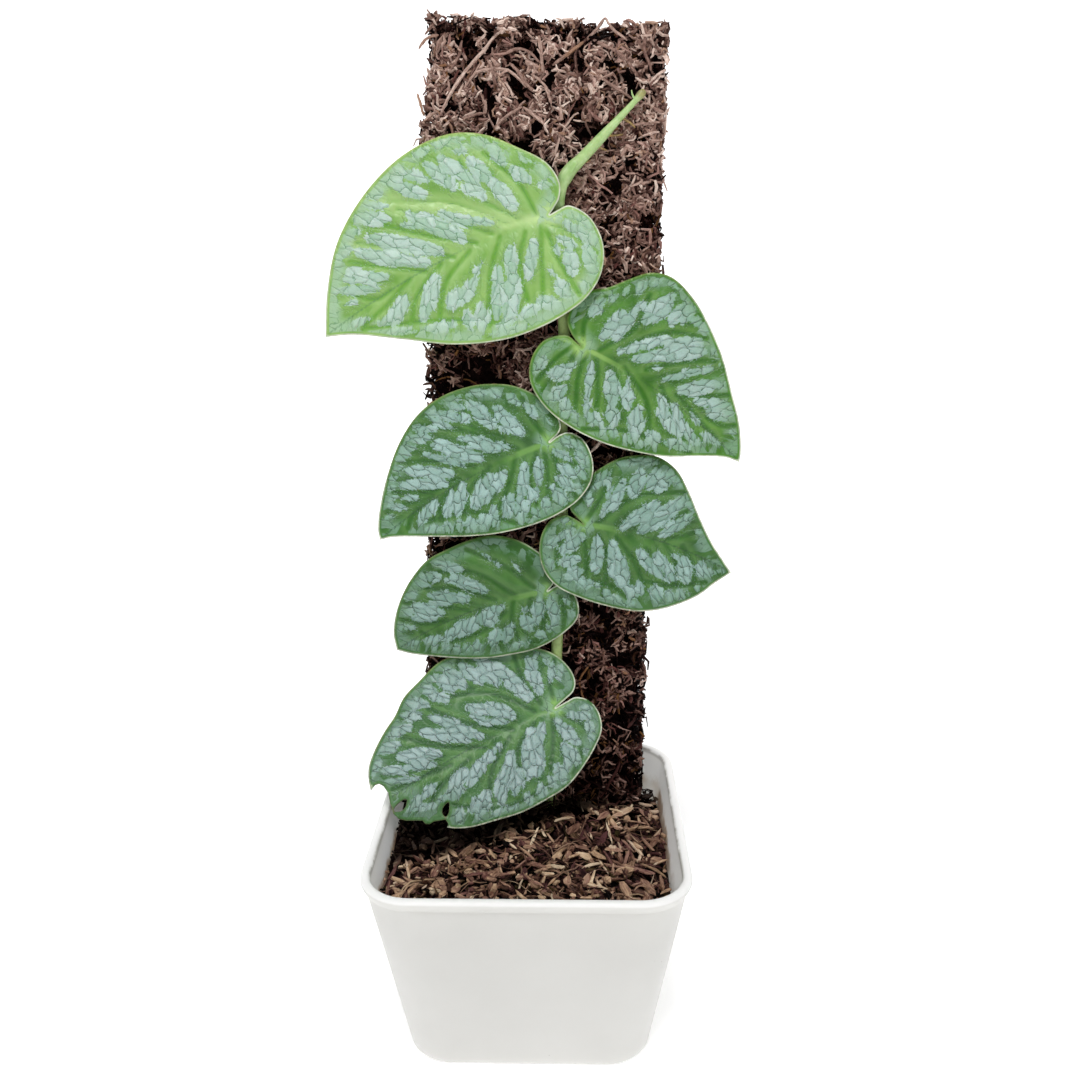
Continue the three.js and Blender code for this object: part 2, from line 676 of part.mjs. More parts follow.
const plant = new THREE.Group();
plant.add(piece('pot', makePot(), 0xe6e5df, 0.5));
plant.add(piece('potting_mix', makeSoil(), 0x4a3026, 0.95));

const climb = new THREE.Group();
climb.position.copy(BOARD_AT);
climb.rotation.set(-BOARD_LEAN, BOARD_TURN, 0, 'YXZ');
climb.add(piece('fern_board', makeBoard(), 0x4d3833, 0.95));
climb.add(piece('vine', makeVine(), 0xa8c67c, 0.5));
for (const leaf of LEAVES) {
  climb.add(piece(leaf.name, makeLeaf(leaf), leaf.colour, 0.42));
}
plant.add(climb);

export default plant;
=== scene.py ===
# The look of a shingle plant on a tree fern board in a white pot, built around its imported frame.
import math

import bpy
import numpy as np
from mathutils import Matrix, Vector
from mathutils.geometry import delaunay_2d_cdt


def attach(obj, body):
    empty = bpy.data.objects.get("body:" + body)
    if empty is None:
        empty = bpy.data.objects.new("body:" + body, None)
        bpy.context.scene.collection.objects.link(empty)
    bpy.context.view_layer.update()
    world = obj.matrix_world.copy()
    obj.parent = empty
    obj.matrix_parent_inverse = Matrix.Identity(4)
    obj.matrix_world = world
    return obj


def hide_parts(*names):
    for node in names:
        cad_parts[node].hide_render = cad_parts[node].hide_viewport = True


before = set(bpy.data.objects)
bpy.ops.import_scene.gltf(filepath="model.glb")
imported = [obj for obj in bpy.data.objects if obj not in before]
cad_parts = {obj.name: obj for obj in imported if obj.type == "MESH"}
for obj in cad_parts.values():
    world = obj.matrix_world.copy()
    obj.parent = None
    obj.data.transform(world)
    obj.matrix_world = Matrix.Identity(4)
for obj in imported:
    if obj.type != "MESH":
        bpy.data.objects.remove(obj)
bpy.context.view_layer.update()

MM = 0.001

# Sizes in millimetres and the board's two turns, as in the part's source
POT_HEIGHT = 67.3
RIM_HALF = 50.0
BASE_HALF = 38.6
RIM_CORNER = 15.4
BASE_CORNER = 14.4
WALL = 2.0
FLOOR = 2.2
BAND_HEIGHT = 3.5
BAND_PROUD = 0.75
LIP_WIDTH = 3.0
HOLE_RADIUS = 3.5
HOLE_PITCH = 40.0
SOIL_MEAN = 56.2
BOARD_AT = np.array([1.6, 24.0, POT_HEIGHT])
BOARD_LEAN = math.radians(6.34)
BOARD_TURN = math.radians(1.4)
BOARD_LEFT = -38.6
BOARD_RIGHT = 36.6
BOARD_TOP = 247.5
BOARD_BOTTOM = -43.0
BOARD_THICK = 15.0
STEM_RADIUS = 1.9
BLADE = 0.8
RIB_DEPTH = 0.7
QUILT = 0.3
DOME = 0.9

# How deep the side veins lie in the blade, and how far the panels between them swell
FURROW = 0.6
SWELL = 0.7

# How finely the leaves are cut up, and how far their silver spreads past its strokes
CELL = 0.8
MARGIN_STEP = 0.6
SPREAD = 0.22

# The photo's camera, solved from the pot and the board: place in millimetres, turns in radians
CAMERA_AT = (14.38, -309.83, 254.13)
CAMERA_PITCH = 0.2912
CAMERA_YAW = -0.0330
CAMERA_ROLL = 0.0115
SENSOR_WIDTH = 36.0
FOCAL_PIXELS = 1058.5
PHOTO_PIXELS = 1079.0

# Numbers of rootlets on the board's sides, of husk fibres on the mix, and how deep the board's pits go
FRONT_BITS = (3900, 3600, 4500)
BACK_BITS = 6600
SIDE_BITS = 1200
TOP_BITS = 850
RUNNERS = 30
MAT_FOOT = -14
PIT_DEPTH = 4.2
HUSK_FIBRES = 420

# The stem's place at the mix, across the board and out from it, and the room that chips leave it
VINE_FOOT = (5.0, 2.4)
VINE_ROOM = 2.2

# How much darker a chip is painted the lower it lies, as painted shade in the gaps of the mix, and how proud
# of the mix the placed ones are
SHADE_BY_DEPTH = 0.36
PLACED_LIFT = 1.7
PLACED_THICK = 0.7

# Light, in watts and in strengths
KEY_POWER = 11.4
SIDE_POWER = 4.7
BACKDROP_POWER = 8.0
WORLD_STRENGTH = 0.19
FLOOR_GLOW = 0.36


# Camera and frame


def place_camera():
    """The photo's own view: 16.7 degrees down from a little right of centre."""
    place = Vector(CAMERA_AT) * MM
    level = Vector((math.cos(CAMERA_YAW), -math.sin(CAMERA_YAW), 0.0))
    flat = Vector((math.sin(CAMERA_YAW), math.cos(CAMERA_YAW), 0.0))
    ahead = flat * math.cos(CAMERA_PITCH) - Vector((0, 0, math.sin(CAMERA_PITCH)))
    down = ahead.cross(level)
    right = level * math.cos(CAMERA_ROLL) + down * math.sin(CAMERA_ROLL)
    down = down * math.cos(CAMERA_ROLL) - level * math.sin(CAMERA_ROLL)
    camera = bpy.data.cameras.new("camera")
    camera.sensor_width = SENSOR_WIDTH
    camera.lens = SENSOR_WIDTH * FOCAL_PIXELS / PHOTO_PIXELS
    camera.clip_start = 0.01
    holder = bpy.data.objects.new("camera", camera)
    turn = Matrix((right, -down, -ahead)).transposed()
    holder.matrix_world = Matrix.Translation(place) @ turn.to_4x4()
    bpy.context.scene.collection.objects.link(holder)
    bpy.context.scene.camera = holder


# Mesh tools


def mix(a, b, t):
    return a + (b - a) * t


def smoothstep(x, low, high):
    t = np.clip((x - low) / (high - low), 0.0, 1.0)
    return t * t * (3.0 - 2.0 * t)


def build(name, points, faces, material, slot, attributes=None, smooth=True):
    """A mesh object from points in millimetres, riding on the part's one body."""
    points = np.asarray(points, np.float32) * MM
    sizes = np.array([len(face) for face in faces], np.int32)
    mesh = bpy.data.meshes.new(name)
    mesh.vertices.add(len(points))
    mesh.vertices.foreach_set("co", points.ravel())
    mesh.loops.add(int(sizes.sum()))
    mesh.loops.foreach_set("vertex_index", np.concatenate(faces).astype(np.int32))
    mesh.polygons.add(len(faces))
    mesh.polygons.foreach_set("loop_start", np.concatenate([[0], np.cumsum(sizes)[:-1]]).astype(np.int32))
    mesh.polygons.foreach_set("use_smooth", np.full(len(faces), smooth))
    mesh.update(calc_edges=True)
    for key, values in (attributes or {}).items():
        values = np.asarray(values, np.float32)
        flat = values.ndim == 1
        layer = mesh.attributes.new(key, "FLOAT" if flat else "FLOAT_VECTOR", "POINT")
        layer.data.foreach_set("value" if flat else "vector", values.ravel())
    mesh.materials.append(material)
    mesh.validate()
    thing = bpy.data.objects.new(name, mesh)
    bpy.context.scene.collection.objects.link(thing)
    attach(thing, "root")
    return thing


class Heap:
    """Collects many small bodies, with their attributes, into one mesh."""

    def __init__(self, *keys):
        self.points, self.faces, self.count = [], [], 0
        self.values = {key: [] for key in keys}

    def add(self, points, faces, **values):
        points = np.asarray(points, float).reshape(-1, 3)
        self.points.append(points)
        self.faces.extend(np.asarray(face) + self.count for face in faces)
        self.count += len(points)
        for key, layers in self.values.items():
            value = np.asarray(values[key], float)
            each = value.ndim and len(value) == len(points)
            shape = (len(points),) + value.shape[(1 if each else 0):]
            layers.append(np.broadcast_to(value, shape))

    def add_tubes(self, paths, radii, sides, tones, local):
        """Many tubes at once: paths is tube by step by place, radii is tube by step, or by point."""
        tubes, steps = radii.shape[:2]
        points = many_tubes(paths, radii, sides)
        one = np.array(tube_faces(steps, sides, capped=False))
        caps = [np.arange(sides)[::-1], np.arange(sides) + (steps - 1) * sides]
        start = self.count + np.arange(tubes)[:, None] * steps * sides
        self.faces.extend((one[None] + start[:, :, None]).reshape(-1, 4))
        for cap in caps:
            self.faces.extend(start + cap[None])
        self.points.append(points.reshape(-1, 3))
        self.count += tubes * steps * sides
        lengths = np.linalg.norm(paths[:, -1] - paths[:, 0], axis=1)
        along = np.linspace(0, 1, steps)[None, :] * lengths[:, None]
        grain = np.zeros((tubes, steps, sides, 3))
        grain[..., 0] = along[:, :, None]
        grain[..., 1] = np.arange(sides)
        grain += local.uniform(0, 300, (tubes, 1, 1, 3))
        self.values["grain"].append(grain.reshape(-1, 3))
        self.values["tone"].append(np.repeat(tones, steps * sides))

    def build(self, name, material, slot, smooth=True):
        attributes = {key: np.concatenate(layers) for key, layers in self.values.items()}
        return build(name, np.concatenate(self.points), self.faces, material, slot, attributes, smooth)


def tube_faces(rings, sides, capped=True):
    faces = []
    for r in range(rings - 1):
        for i in range(sides):
            j = (i + 1) % sides
            faces.append([r * sides + i, r * sides + j, (r + 1) * sides + j, (r + 1) * sides + i])
    if capped:
        faces.append(list(range(sides))[::-1])
        faces.append([(rings - 1) * sides + i for i in range(sides)])
    return faces


def shell_faces(faces, count):
    """The faces of a closed sheet: its own, the same turned over beneath, and its rims."""
    border = {}
    for face in faces.tolist():
        for start, end in zip(face, face[1:] + face[:1]):
            if (end, start) in border:
                del border[end, start]
            else:
                border[start, end] = True
    rims = [[b, a, a + count, b + count] for a, b in border]
    return faces.tolist() + (faces[:, ::-1] + count).tolist() + rims


def many_tubes(paths, radii, sides, normals=None):
    """Rings of points round many paths at once, with a radius for each step, or each point of it."""
    tangents = np.gradient(paths, axis=1)
    tangents /= np.linalg.norm(tangents, axis=2, keepdims=True) + 1e-12
    if normals is None:
        mean = tangents.mean(1)
        axes = np.eye(3)[np.argmin(np.abs(mean), axis=1)]
        normals = np.cross(mean, axes)[:, None, :]
    normals = normals - tangents * (normals * tangents).sum(2, keepdims=True)
    normals = normals / (np.linalg.norm(normals, axis=2, keepdims=True) + 1e-12)
    others = np.cross(tangents, normals)
    angles = 2 * math.pi * np.arange(sides) / sides
    rings = (np.cos(angles)[:, None] * normals[:, :, None, :]
             + np.sin(angles)[:, None] * others[:, :, None, :])
    radii = radii[..., None] if radii.ndim == 3 else radii[..., None, None]
    return paths[:, :, None, :] + radii * rings


def tube_points(path, radii, sides):
    """Rings round one path that bends, with a radius for each."""
    path = np.asarray(path, float)
    tangents = np.gradient(path, axis=0)
    tangents /= np.linalg.norm(tangents, axis=1)[:, None]
    normal = np.cross(tangents[0], np.eye(3)[np.argmin(np.abs(tangents).max(0))])
    normals = []
    for tangent in tangents:
        normal = normal - tangent * (normal @ tangent)
        normal = normal / np.linalg.norm(normal)
        normals.append(normal)
    rings = many_tubes(path[None], np.asarray(radii, float)[None], sides, np.array(normals)[None])
    return rings.reshape(-1, 3)


def clouds(x, y, size, seed):
    """Smooth random values from 0 to 1, with bumps about as wide as size."""
    values = np.random.default_rng(seed).random((64, 64))
    x, y = np.asarray(x, float) / size + 20.0, np.asarray(y, float) / size + 20.0
    i, j = np.floor(x).astype(int), np.floor(y).astype(int)
    a, b = x - i, y - j
    a, b = a * a * (3 - 2 * a), b * b * (3 - 2 * b)
    pick = lambda p, q: values[p % 64, q % 64]
    return mix(mix(pick(i, j), pick(i + 1, j), a), mix(pick(i, j + 1), pick(i + 1, j + 1), a), b)


def spline(points, step=None, count=None):
    """A centripetal Catmull-Rom curve through the points, resampled evenly."""
    p = np.asarray(points, float)
    p = np.vstack([2 * p[0] - p[1], p, 2 * p[-1] - p[-2]])
    curve = []
    for i in range(1, len(p) - 2):
        gaps = [max(np.linalg.norm(p[i + k] - p[i + k - 1]), 1e-6) ** 0.5 for k in (0, 1, 2)]
        first = (p[i] - p[i - 1]) / gaps[0] - (p[i + 1] - p[i - 1]) / (gaps[0] + gaps[1])
        first = (first + (p[i + 1] - p[i]) / gaps[1]) * gaps[1]
        last = (p[i + 1] - p[i]) / gaps[1] - (p[i + 2] - p[i]) / (gaps[1] + gaps[2])
        last = (last + (p[i + 2] - p[i + 1]) / gaps[2]) * gaps[1]
        t = np.linspace(0, 1, 24, endpoint=False)[:, None]
        curve.append(p[i] * (2 * t**3 - 3 * t**2 + 1) + first * (t**3 - 2 * t**2 + t)
                     + p[i + 1] * (3 * t**2 - 2 * t**3) + last * (t**3 - t**2))
    curve = np.vstack(curve + [p[-2:-1]])
    lengths = np.concatenate([[0], np.cumsum(np.linalg.norm(np.diff(curve, axis=0), axis=1))])
    if count is None:
        count = max(2, round(lengths[-1] / step) + 1)
    at = np.linspace(0, lengths[-1], count)
    return np.stack([np.interp(at, lengths, curve[:, k]) for k in range(curve.shape[1])], 1)


# Material tools


class Shader:
    """A node material, with short calls for the nodes that the finishes need."""

    def __init__(self, name, roughness=0.5, **sockets):
        self.material = bpy.data.materials.new(name)
        self.material.use_nodes = True
        self.tree = self.material.node_tree
        self.surface = self.tree.nodes["Principled BSDF"]
        self.set("Roughness", roughness)
        for key, value in sockets.items():
            self.set(key.replace("_", " "), value)
        self.place = self.tree.nodes.new("ShaderNodeTexCoord").outputs["Object"]

    def set(self, socket, value):
        target = self.surface.inputs[socket]
        if isinstance(value, bpy.types.NodeSocket):
            self.tree.links.new(value, target)
        else:
            target.default_value = value

    def node(self, kind, output, inputs, **settings):
        node = self.tree.nodes.new("ShaderNode" + kind)
        for key, value in settings.items():
            setattr(node, key, value)
        for key, value in inputs.items():
            if isinstance(value, bpy.types.NodeSocket):
                self.tree.links.new(value, node.inputs[key])
            else:
                node.inputs[key].default_value = value
        return node.outputs[output]

    def attribute(self, name, output="Fac"):
        return self.node("Attribute", output, {}, attribute_name=name)

    def coordinate(self, axis):
        return self.node("SeparateXYZ", axis, {"Vector": self.place})

    def noise(self, scale, detail=3.0, rough=0.55, at=None, output="Fac"):
        return self.node("TexNoise", output, {"Vector": at or self.place, "Scale": scale,
                                              "Detail": detail, "Roughness": rough})

    def voronoi(self, scale, feature="F1", output="Distance", at=None, dimensions="3D"):
        return self.node("TexVoronoi", output, {"Vector": at or self.place, "Scale": scale},
                         feature=feature, voronoi_dimensions=dimensions)

    def vector(self, operation, a, b):
        return self.node("VectorMath", "Vector", {0: a, 1: b}, operation=operation)

    def chain(self, operation, values):
        """One math node for each value after the first, each on the result so far."""
        result = values[0]
        for value in values[1:]:
            result = self.node("Math", 0, {0: result, 1: value}, operation=operation)
        return result

    def times(self, *values):
        return self.chain("MULTIPLY", values)

    def plus(self, *values):
        return self.chain("ADD", values)

    def minus(self, *values):
        return self.chain("SUBTRACT", values)

    def most(self, *values):
        return self.chain("MAXIMUM", values)

    def band(self, value, low, high, to_low=0.0, to_high=1.0):
        """A smooth step from low to high."""
        return self.node("MapRange", "Result",
                         {"Value": value, "From Min": low, "From Max": high, "To Min": to_low,
                          "To Max": to_high}, interpolation_type="SMOOTHSTEP")

    def ramp(self, value, *stops):
        node = self.tree.nodes.new("ShaderNodeValToRGB")
        self.tree.links.new(value, node.inputs[0])
        elements = node.color_ramp.elements
        while len(elements) < len(stops):
            elements.new(0.5)
        for element, (position, colour) in zip(elements, stops):
            element.position = position
            element.color = rgb(*colour)
        return node.outputs[0]

    def blend(self, amount, a, b, mode="MIX"):
        """Colour a turning into colour b by amount."""
        return self.node("Mix", 2, {0: amount, 6: a, 7: b}, data_type="RGBA", blend_type=mode)

    def bump(self, height, strength, distance):
        return self.node("Bump", "Normal", {"Height": height, "Strength": strength, "Distance": distance})


def rgb(red, green, blue):
    """A colour as it looks on screen, 0 to 255, as linear values."""
    def linear(value):
        value = value / 255.0
        return value / 12.92 if value <= 0.04045 else ((value + 0.055) / 1.055) ** 2.4
    return (linear(red), linear(green), linear(blue), 1.0)


# The board's frame


def board_axes():
    lean = np.array([[1, 0, 0],
                     [0, math.cos(BOARD_LEAN), math.sin(BOARD_LEAN)],
                     [0, -math.sin(BOARD_LEAN), math.cos(BOARD_LEAN)]])
    turn = np.array([[math.cos(BOARD_TURN), 0, math.sin(BOARD_TURN)],
                     [0, 1, 0],
                     [-math.sin(BOARD_TURN), 0, math.cos(BOARD_TURN)]])
    return turn @ lean


AXES = board_axes()


def on_board(u, h, out):
    """World points from places across the board, up along it, and out in front of its face."""
    u, h, out = np.broadcast_arrays(np.asarray(u, float), h, out)
    return np.stack([u, -out, h], -1) @ AXES.T + BOARD_AT


def board_local(points):
    return (np.asarray(points, float) - BOARD_AT) @ AXES


# Pot


def wall_half(z):
    return mix(BASE_HALF, RIM_HALF - BAND_PROUD, z / POT_HEIGHT)


def corner_radius(z):
    return mix(BASE_CORNER, RIM_CORNER, z / POT_HEIGHT)


def square_ring(half, corner, z, steps=14, flat=10):
    """A square of rounded corners, with points along its flats too."""
    arcs, ring = [], []
    for quarter, signs in enumerate(((1, 1), (-1, 1), (-1, -1), (1, -1))):
        angle = (quarter + np.arange(steps + 1) / steps) * math.pi / 2
        arcs.append((half - corner) * np.array(signs) + corner * np.stack([np.cos(angle), np.sin(angle)], 1))
    for arc, following in zip(arcs, arcs[1:] + arcs[:1]):
        ring += [arc, mix(arc[-1], following[0], np.arange(1, flat)[:, None] / flat)]
    ring = np.vstack(ring)
    return np.column_stack([ring, np.full(len(ring), z)])


def inner_ring(z, inset=0.0):
    return square_ring(wall_half(z) - WALL - inset, corner_radius(z) - WALL - inset, z)


def pot_profile():
    """The pot from its foot to its inner lip: half its width, the height, and how much grime sits there."""
    band = POT_HEIGHT - BAND_HEIGHT
    foot = ((3.2, 0.0), (1.5, 0.0), (0.85, 0.15), (0.35, 0.55))
    step = ((0.12, -0.15), (0.55, 0.1), (BAND_PROUD, 0.5))
    rim = ((0.1, BAND_HEIGHT - 1.6, 0), (0.0, 1.5, 0), (0.12, 0.8, 0), (0.5, 0.3, 0), (1.1, 0.05, 0),
           (1.7, 0.0, 0), (2.3, 0.08, 0), (2.72, 0.3, 0.5), (LIP_WIDTH, 0.65, 1.0),
           (LIP_WIDTH + 0.1, 1.05, 0.35), (LIP_WIDTH + 0.13, 1.5, 0))
    profile = [(BASE_HALF - inset, z, 0) for inset, z in foot]
    profile += [(wall_half(z), z, 0) for z in (1.2, *np.linspace(3, band - 0.6, 16))]
    profile += [(wall_half(band) + proud, band + up, 0) for proud, up in step]
    return profile + [(RIM_HALF - inset, POT_HEIGHT - fall, grime) for inset, fall, grime in rim]


def make_pot():
    profile = pot_profile()
    rings = [square_ring(half, corner_radius(z) - (wall_half(z) - half), z) for half, z, _ in profile]
    band = POT_HEIGHT - BAND_HEIGHT
    rings += [inner_ring(z) for z in (band + 1.2, *np.linspace(band, FLOOR + 1.4, 12))]
    rings += [inner_ring(FLOOR + 0.4, 0.6), inner_ring(FLOOR, 1.6)]
    inner, count = len(rings) - len(profile), len(rings[0])
    groove = [grime for _, _, grime in profile] + [0.0] * inner
    within = [0.0] * len(profile) + [1.0] * inner
    pot = build("pot_shell", np.concatenate(rings), tube_faces(len(rings), count), pot_material(),
                "pot_plastic", {"groove": np.repeat(groove, count), "within": np.repeat(within, count)})
    drill = cutter_for_drains()
    cut = pot.modifiers.new("drains", "BOOLEAN")
    cut.object = drill
    cut.operation = "DIFFERENCE"
    cut.solver = "EXACT"
    apply_modifiers(pot)
    bpy.data.objects.remove(drill)
    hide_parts("pot")


def cutter_for_drains():
    """Four round posts that stand where the drain holes are to be."""
    points, faces = [], []
    reach = HOLE_PITCH / 2
    for x, y in ((-reach, -reach), (-reach, reach), (reach, -reach), (reach, reach)):
        start = len(points)
        points.extend(tube_points([(x, y, -3.0), (x, y, 5.0)], [HOLE_RADIUS] * 2, 28))
        faces.extend([[i + start for i in face] for face in tube_faces(2, 28)])
    mesh = bpy.data.meshes.new("drains")
    mesh.from_pydata((np.array(points) * MM).tolist(), [], faces)
    thing = bpy.data.objects.new("drains", mesh)
    bpy.context.scene.collection.objects.link(thing)
    return thing


def apply_modifiers(thing):
    graph = bpy.context.evaluated_depsgraph_get()
    mesh = bpy.data.meshes.new_from_object(thing.evaluated_get(graph))
    thing.modifiers.clear()
    thing.data = mesh


def pot_material():
    """White plastic that glows through a little, painted darker on its outer faces and lighter on its rim's
    top and inner walls, with specks, grime under the lip and stain from the mix.
    """
    s = Shader("white_plastic", 0.46, Specular_IOR_Level=0.45, Subsurface_Weight=0.85,
               Subsurface_Scale=0.005, Subsurface_Radius=(1.0, 1.0, 1.0))
    cloudy = s.noise(18.0, 4.0)
    height = s.coordinate("Z")
    within = s.attribute("within")
    # Painted light and shade on one plastic: the outer faces are painted darker, the inner walls lighter,
    # and the rim's top carries a painted highlight
    outside = s.ramp(cloudy, (0.3, (212, 211, 207)), (0.7, (220, 219, 215)))
    lip = s.ramp(cloudy, (0.3, (244, 243, 240)), (0.7, (250, 249, 246)))
    inside = s.ramp(cloudy, (0.3, (244, 243, 238)), (0.7, (251, 250, 247)))
    base = s.blend(s.band(height, 0.0659, 0.0668), outside, lip)
    base = s.blend(within, base, inside)
    specks = s.times(s.band(s.voronoi(260.0), 0.052, 0.03), s.band(s.noise(90.0, 1.0), 0.60, 0.64), 0.7)
    base = s.blend(specks, base, rgb(120, 110, 98))
    level = s.plus(height, s.times(s.noise(160.0, 5.0), 0.009))
    stain = s.times(s.band(level, 0.0632, 0.0600), within, s.band(s.noise(45.0, 2.0), 0.36, 0.6, 0.15, 0.7))
    base = s.blend(stain, base, rgb(150, 116, 78))
    grime = s.times(s.attribute("groove"), s.band(s.noise(170.0, 4.0), 0.36, 0.56), 0.7)
    s.set("Base Color", s.blend(grime, base, rgb(112, 104, 96)))
    s.set("Roughness", s.band(s.noise(60.0, 3.0), 0.3, 0.7, 0.40, 0.54))
    s.set("Normal", s.bump(s.noise(900.0, 2.0), 0.12, 0.0002))
    return s.material


# Potting mix


def soil_height(x, y):
    """The mix's surface: a mound before the board, falling to the right and back, with soft lumps."""
    mound = 3.6 * np.exp(-(((y - 14) / 16) ** 2) - ((x - 4) / 34) ** 2)
    fall = -1.8 * smoothstep(x, 10, 46) - 2.4 * smoothstep(y, 18, 44)
    front = 1.2 * smoothstep(-y, 10, 44) + 1.6 * smoothstep(-x, 26, 42)
    lumps = 0.55 * (np.sin(x * 0.61 + y * 0.23) + np.sin(y * 0.53 - x * 0.29 + 2))
    behind = 3.0 * smoothstep(-x, 34, 46) * smoothstep(y, -8, 6)
    return behind + SOIL_MEAN + mound + fall + front + lumps


def make_soil():
    material = chip_material()
    rings = [inner_ring(FLOOR + 0.3, 1.3), inner_ring(FLOOR + 1.5, 0.3), inner_ring(30, 0.3)]
    levels = 46
    for k in range(levels, 0, -1):
        ring = inner_ring(SOIL_MEAN - 1, 0.25)
        ring[:, :2] *= k / levels
        x, y = ring[:, 0], ring[:, 1]
        rough = 0.8 * np.sin(x * 1.7 + np.sin(y * 1.3) * 2) * np.sin(y * 1.9)
        ring[:, 2] = soil_height(x, y) - 2.8 + rough
        rings.append(ring)
    points = np.concatenate(rings)
    # The body under the chips is painted near black: painted shade in the gaps between them
    body = build("mix_body", points, tube_faces(len(rings), len(rings[0])), material, "bark_mix",
                 {"tone": np.full(len(points), 0.04), "grain": points})
    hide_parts("potting_mix")
    scatter_chips(material)
    scatter_husk(material)


def on_ground(x, y, margin):
    """Which places on the mix are clear of the walls, the board and the vine."""
    reach = wall_half(SOIL_MEAN) - WALL - margin
    corner = corner_radius(SOIL_MEAN) - WALL
    dx = np.maximum(np.abs(x) - (reach - corner), 0)
    dy = np.maximum(np.abs(y) - (reach - corner), 0)
    clear = np.hypot(dx, dy) < corner
    where = board_local(np.stack([x, y, soil_height(x, y)], -1))
    u, back = where[..., 0], where[..., 1]
    clear &= ~((u > BOARD_LEFT - margin) & (u < BOARD_RIGHT + margin)
               & (back > -margin) & (back < BOARD_THICK + margin))
    return clear & (np.hypot(u - VINE_FOOT[0], back + VINE_FOOT[1]) > VINE_ROOM + margin)


def scatter(local, count, margin):
    """Random places on the mix, as many as count, clear by margin of what stands in it."""
    half = wall_half(SOIL_MEAN)
    x, y = local.uniform(-half, half, (2, count * 3))
    keep = np.flatnonzero(on_ground(x, y, margin))[:count]
    return x[keep], y[keep]


def turn_matrix(yaw, pitch, roll):
    """A turn by roll about x, then pitch about y, then yaw about z."""
    cy, sy, cp, sp, cr, sr = (f(a) for a in (yaw, pitch, roll) for f in (math.cos, math.sin))
    rz = np.array([[cy, -sy, 0], [sy, cy, 0], [0, 0, 1]])
    ry = np.array([[cp, 0, sp], [0, 1, 0], [-sp, 0, cp]])
    rx = np.array([[1, 0, 0], [0, cr, -sr], [0, sr, cr]])
    return rz @ ry @ rx


def chip_shape(length, width, thick, local):
    """A split chip: a ragged, pointed outline, thicker in the middle and a little bent."""
    corners = 7
    angles = (np.arange(corners) + local.uniform(-0.32, 0.32, corners)) * 2 * math.pi / corners
    wobble = local.uniform(0.7, 1.12, corners)
    outline = np.stack([np.cos(angles) * length / 2, np.sin(angles) * width / 2], 1) * wobble[:, None]
    bend = local.uniform(-0.35, 0.35)
    twist = local.uniform(-0.5, 0.5)
    rings = []
    for scale, level in ((0.78, -0.5), (1.0, -0.1), (0.82, 0.5)):
        xy = outline * scale
        z = level * thick + bend * xy[:, 0] ** 2 / length + twist * xy[:, 0] * xy[:, 1] / length
        z = z + local.uniform(-0.16, 0.16, corners) * thick
        rings.append(np.column_stack([xy, z]))
    return np.concatenate(rings), tube_faces(3, corners)


# Kinds of chip: how many, length, width, thickness, tone, height spread and clearance
CHIP_KINDS = {
    "flake": (200, (4.5, 10.5), (1.6, 3.8), (0.5, 1.1), (0.32, 0.17), 1.6, 2.9),
    "pale": (60, (4.0, 9.0), (1.0, 2.6), (0.5, 1.0), (0.66, 0.10), 1.2, 3.0),
    "nugget": (300, (2.2, 5.0), (1.6, 3.4), (1.0, 2.2), (0.28, 0.18), 1.8, 2.0),
    "splinter": (740, (3.5, 11.0), (0.6, 1.4), (0.4, 0.9), (0.37, 0.21), 1.8, 2.6),
    "crumb": (1250, (1.0, 2.8), (0.6, 1.5), (0.4, 1.0), (0.36, 0.28), 1.6, 1.0),
}

# The largest chips that show, as read off the photo: start and end on the mix, width and tone
PLACED_CHIPS = [
    (27, 11.5, 36, 17, 3, 0.80), (37, 22, 42, 19.5, 1.5, 0.92), (41, 18.5, 44.5, 18, 1.5, 0.94),
    (31, 7, 42, 5.5, 1.2, 0.66), (26.5, 9.5, 29.5, 3.5, 1.8, 0.74), (22.5, 7.5, 26.5, 13.5, 2.5, 0.60),
    (24, -6.5, 31, -8.5, 2.2, 0.66), (20, -6, 24.5, -15, 2.2, 0.72), (7.5, -13, 12, -6.5, 1.4, 0.76),
    (8, -13.5, 12.5, -17, 1.7, 0.20), (12, -0.5, 16.5, 4.5, 3, 0.42), (30, -15.5, 40.5, -19, 1.7, 0.50),
    (39.5, -4.5, 43, 2, 2.2, 0.44), (29, -24.5, 31.5, -32.5, 3.2, 0.64),
    (22.5, -24.5, 29.5, -22.5, 1.2, 0.50), (35, -22, 39.5, -29, 3.2, 0.48),
    (41.5, -20.5, 42, -27.5, 1.3, 0.56), (3.5, -34.5, 6, -37.5, 1.3, 0.72),
    (19.5, 0.5, 20.5, -3, 0.9, 0.92), (3, 6.5, 5, 0, 1, 0.60), (14, -6.5, 19.5, -8, 1, 0.54),
    (37, 0.5, 41, -7, 0.9, 0.60), (0, -26, 5.5, -28.5, 0.8, 0.62), (-30.5, -14, -25.5, -11.5, 1.4, 0.78),
    (-27, -8, -23, -13.5, 1.9, 0.62), (-30, -25, -28.5, -16.5, 3, 0.46),
    (-11.5, -24.5, -9, -19.5, 3.2, 0.50), (-43, -26, -35.5, -31.5, 1.5, 0.74),
    (-37, -36.5, -33, -30.5, 1.3, 0.62), (-10, -11.5, -6.5, -9.5, 2.2, 0.46),
    (-38.5, -6.5, -36.5, -13, 1.4, 0.58), (-37.5, -24, -34.5, -20, 0.9, 0.58),
    (-31.5, -11.5, -31.5, -5.5, 1.1, 0.58), (-27, -7, -24.5, -3.5, 0.8, 0.62),
    (-24.5, -6.5, -22, -3.5, 2.7, 0.42), (-21.5, -7, -18, -11, 3, 0.42),
    (-26.5, -28, -24.5, -33.5, 2.2, 0.52), (-23.5, -29.5, -20.5, -30, 3, 0.54),
    (-3.5, -30.5, 0.5, -37, 1.1, 0.66),
]


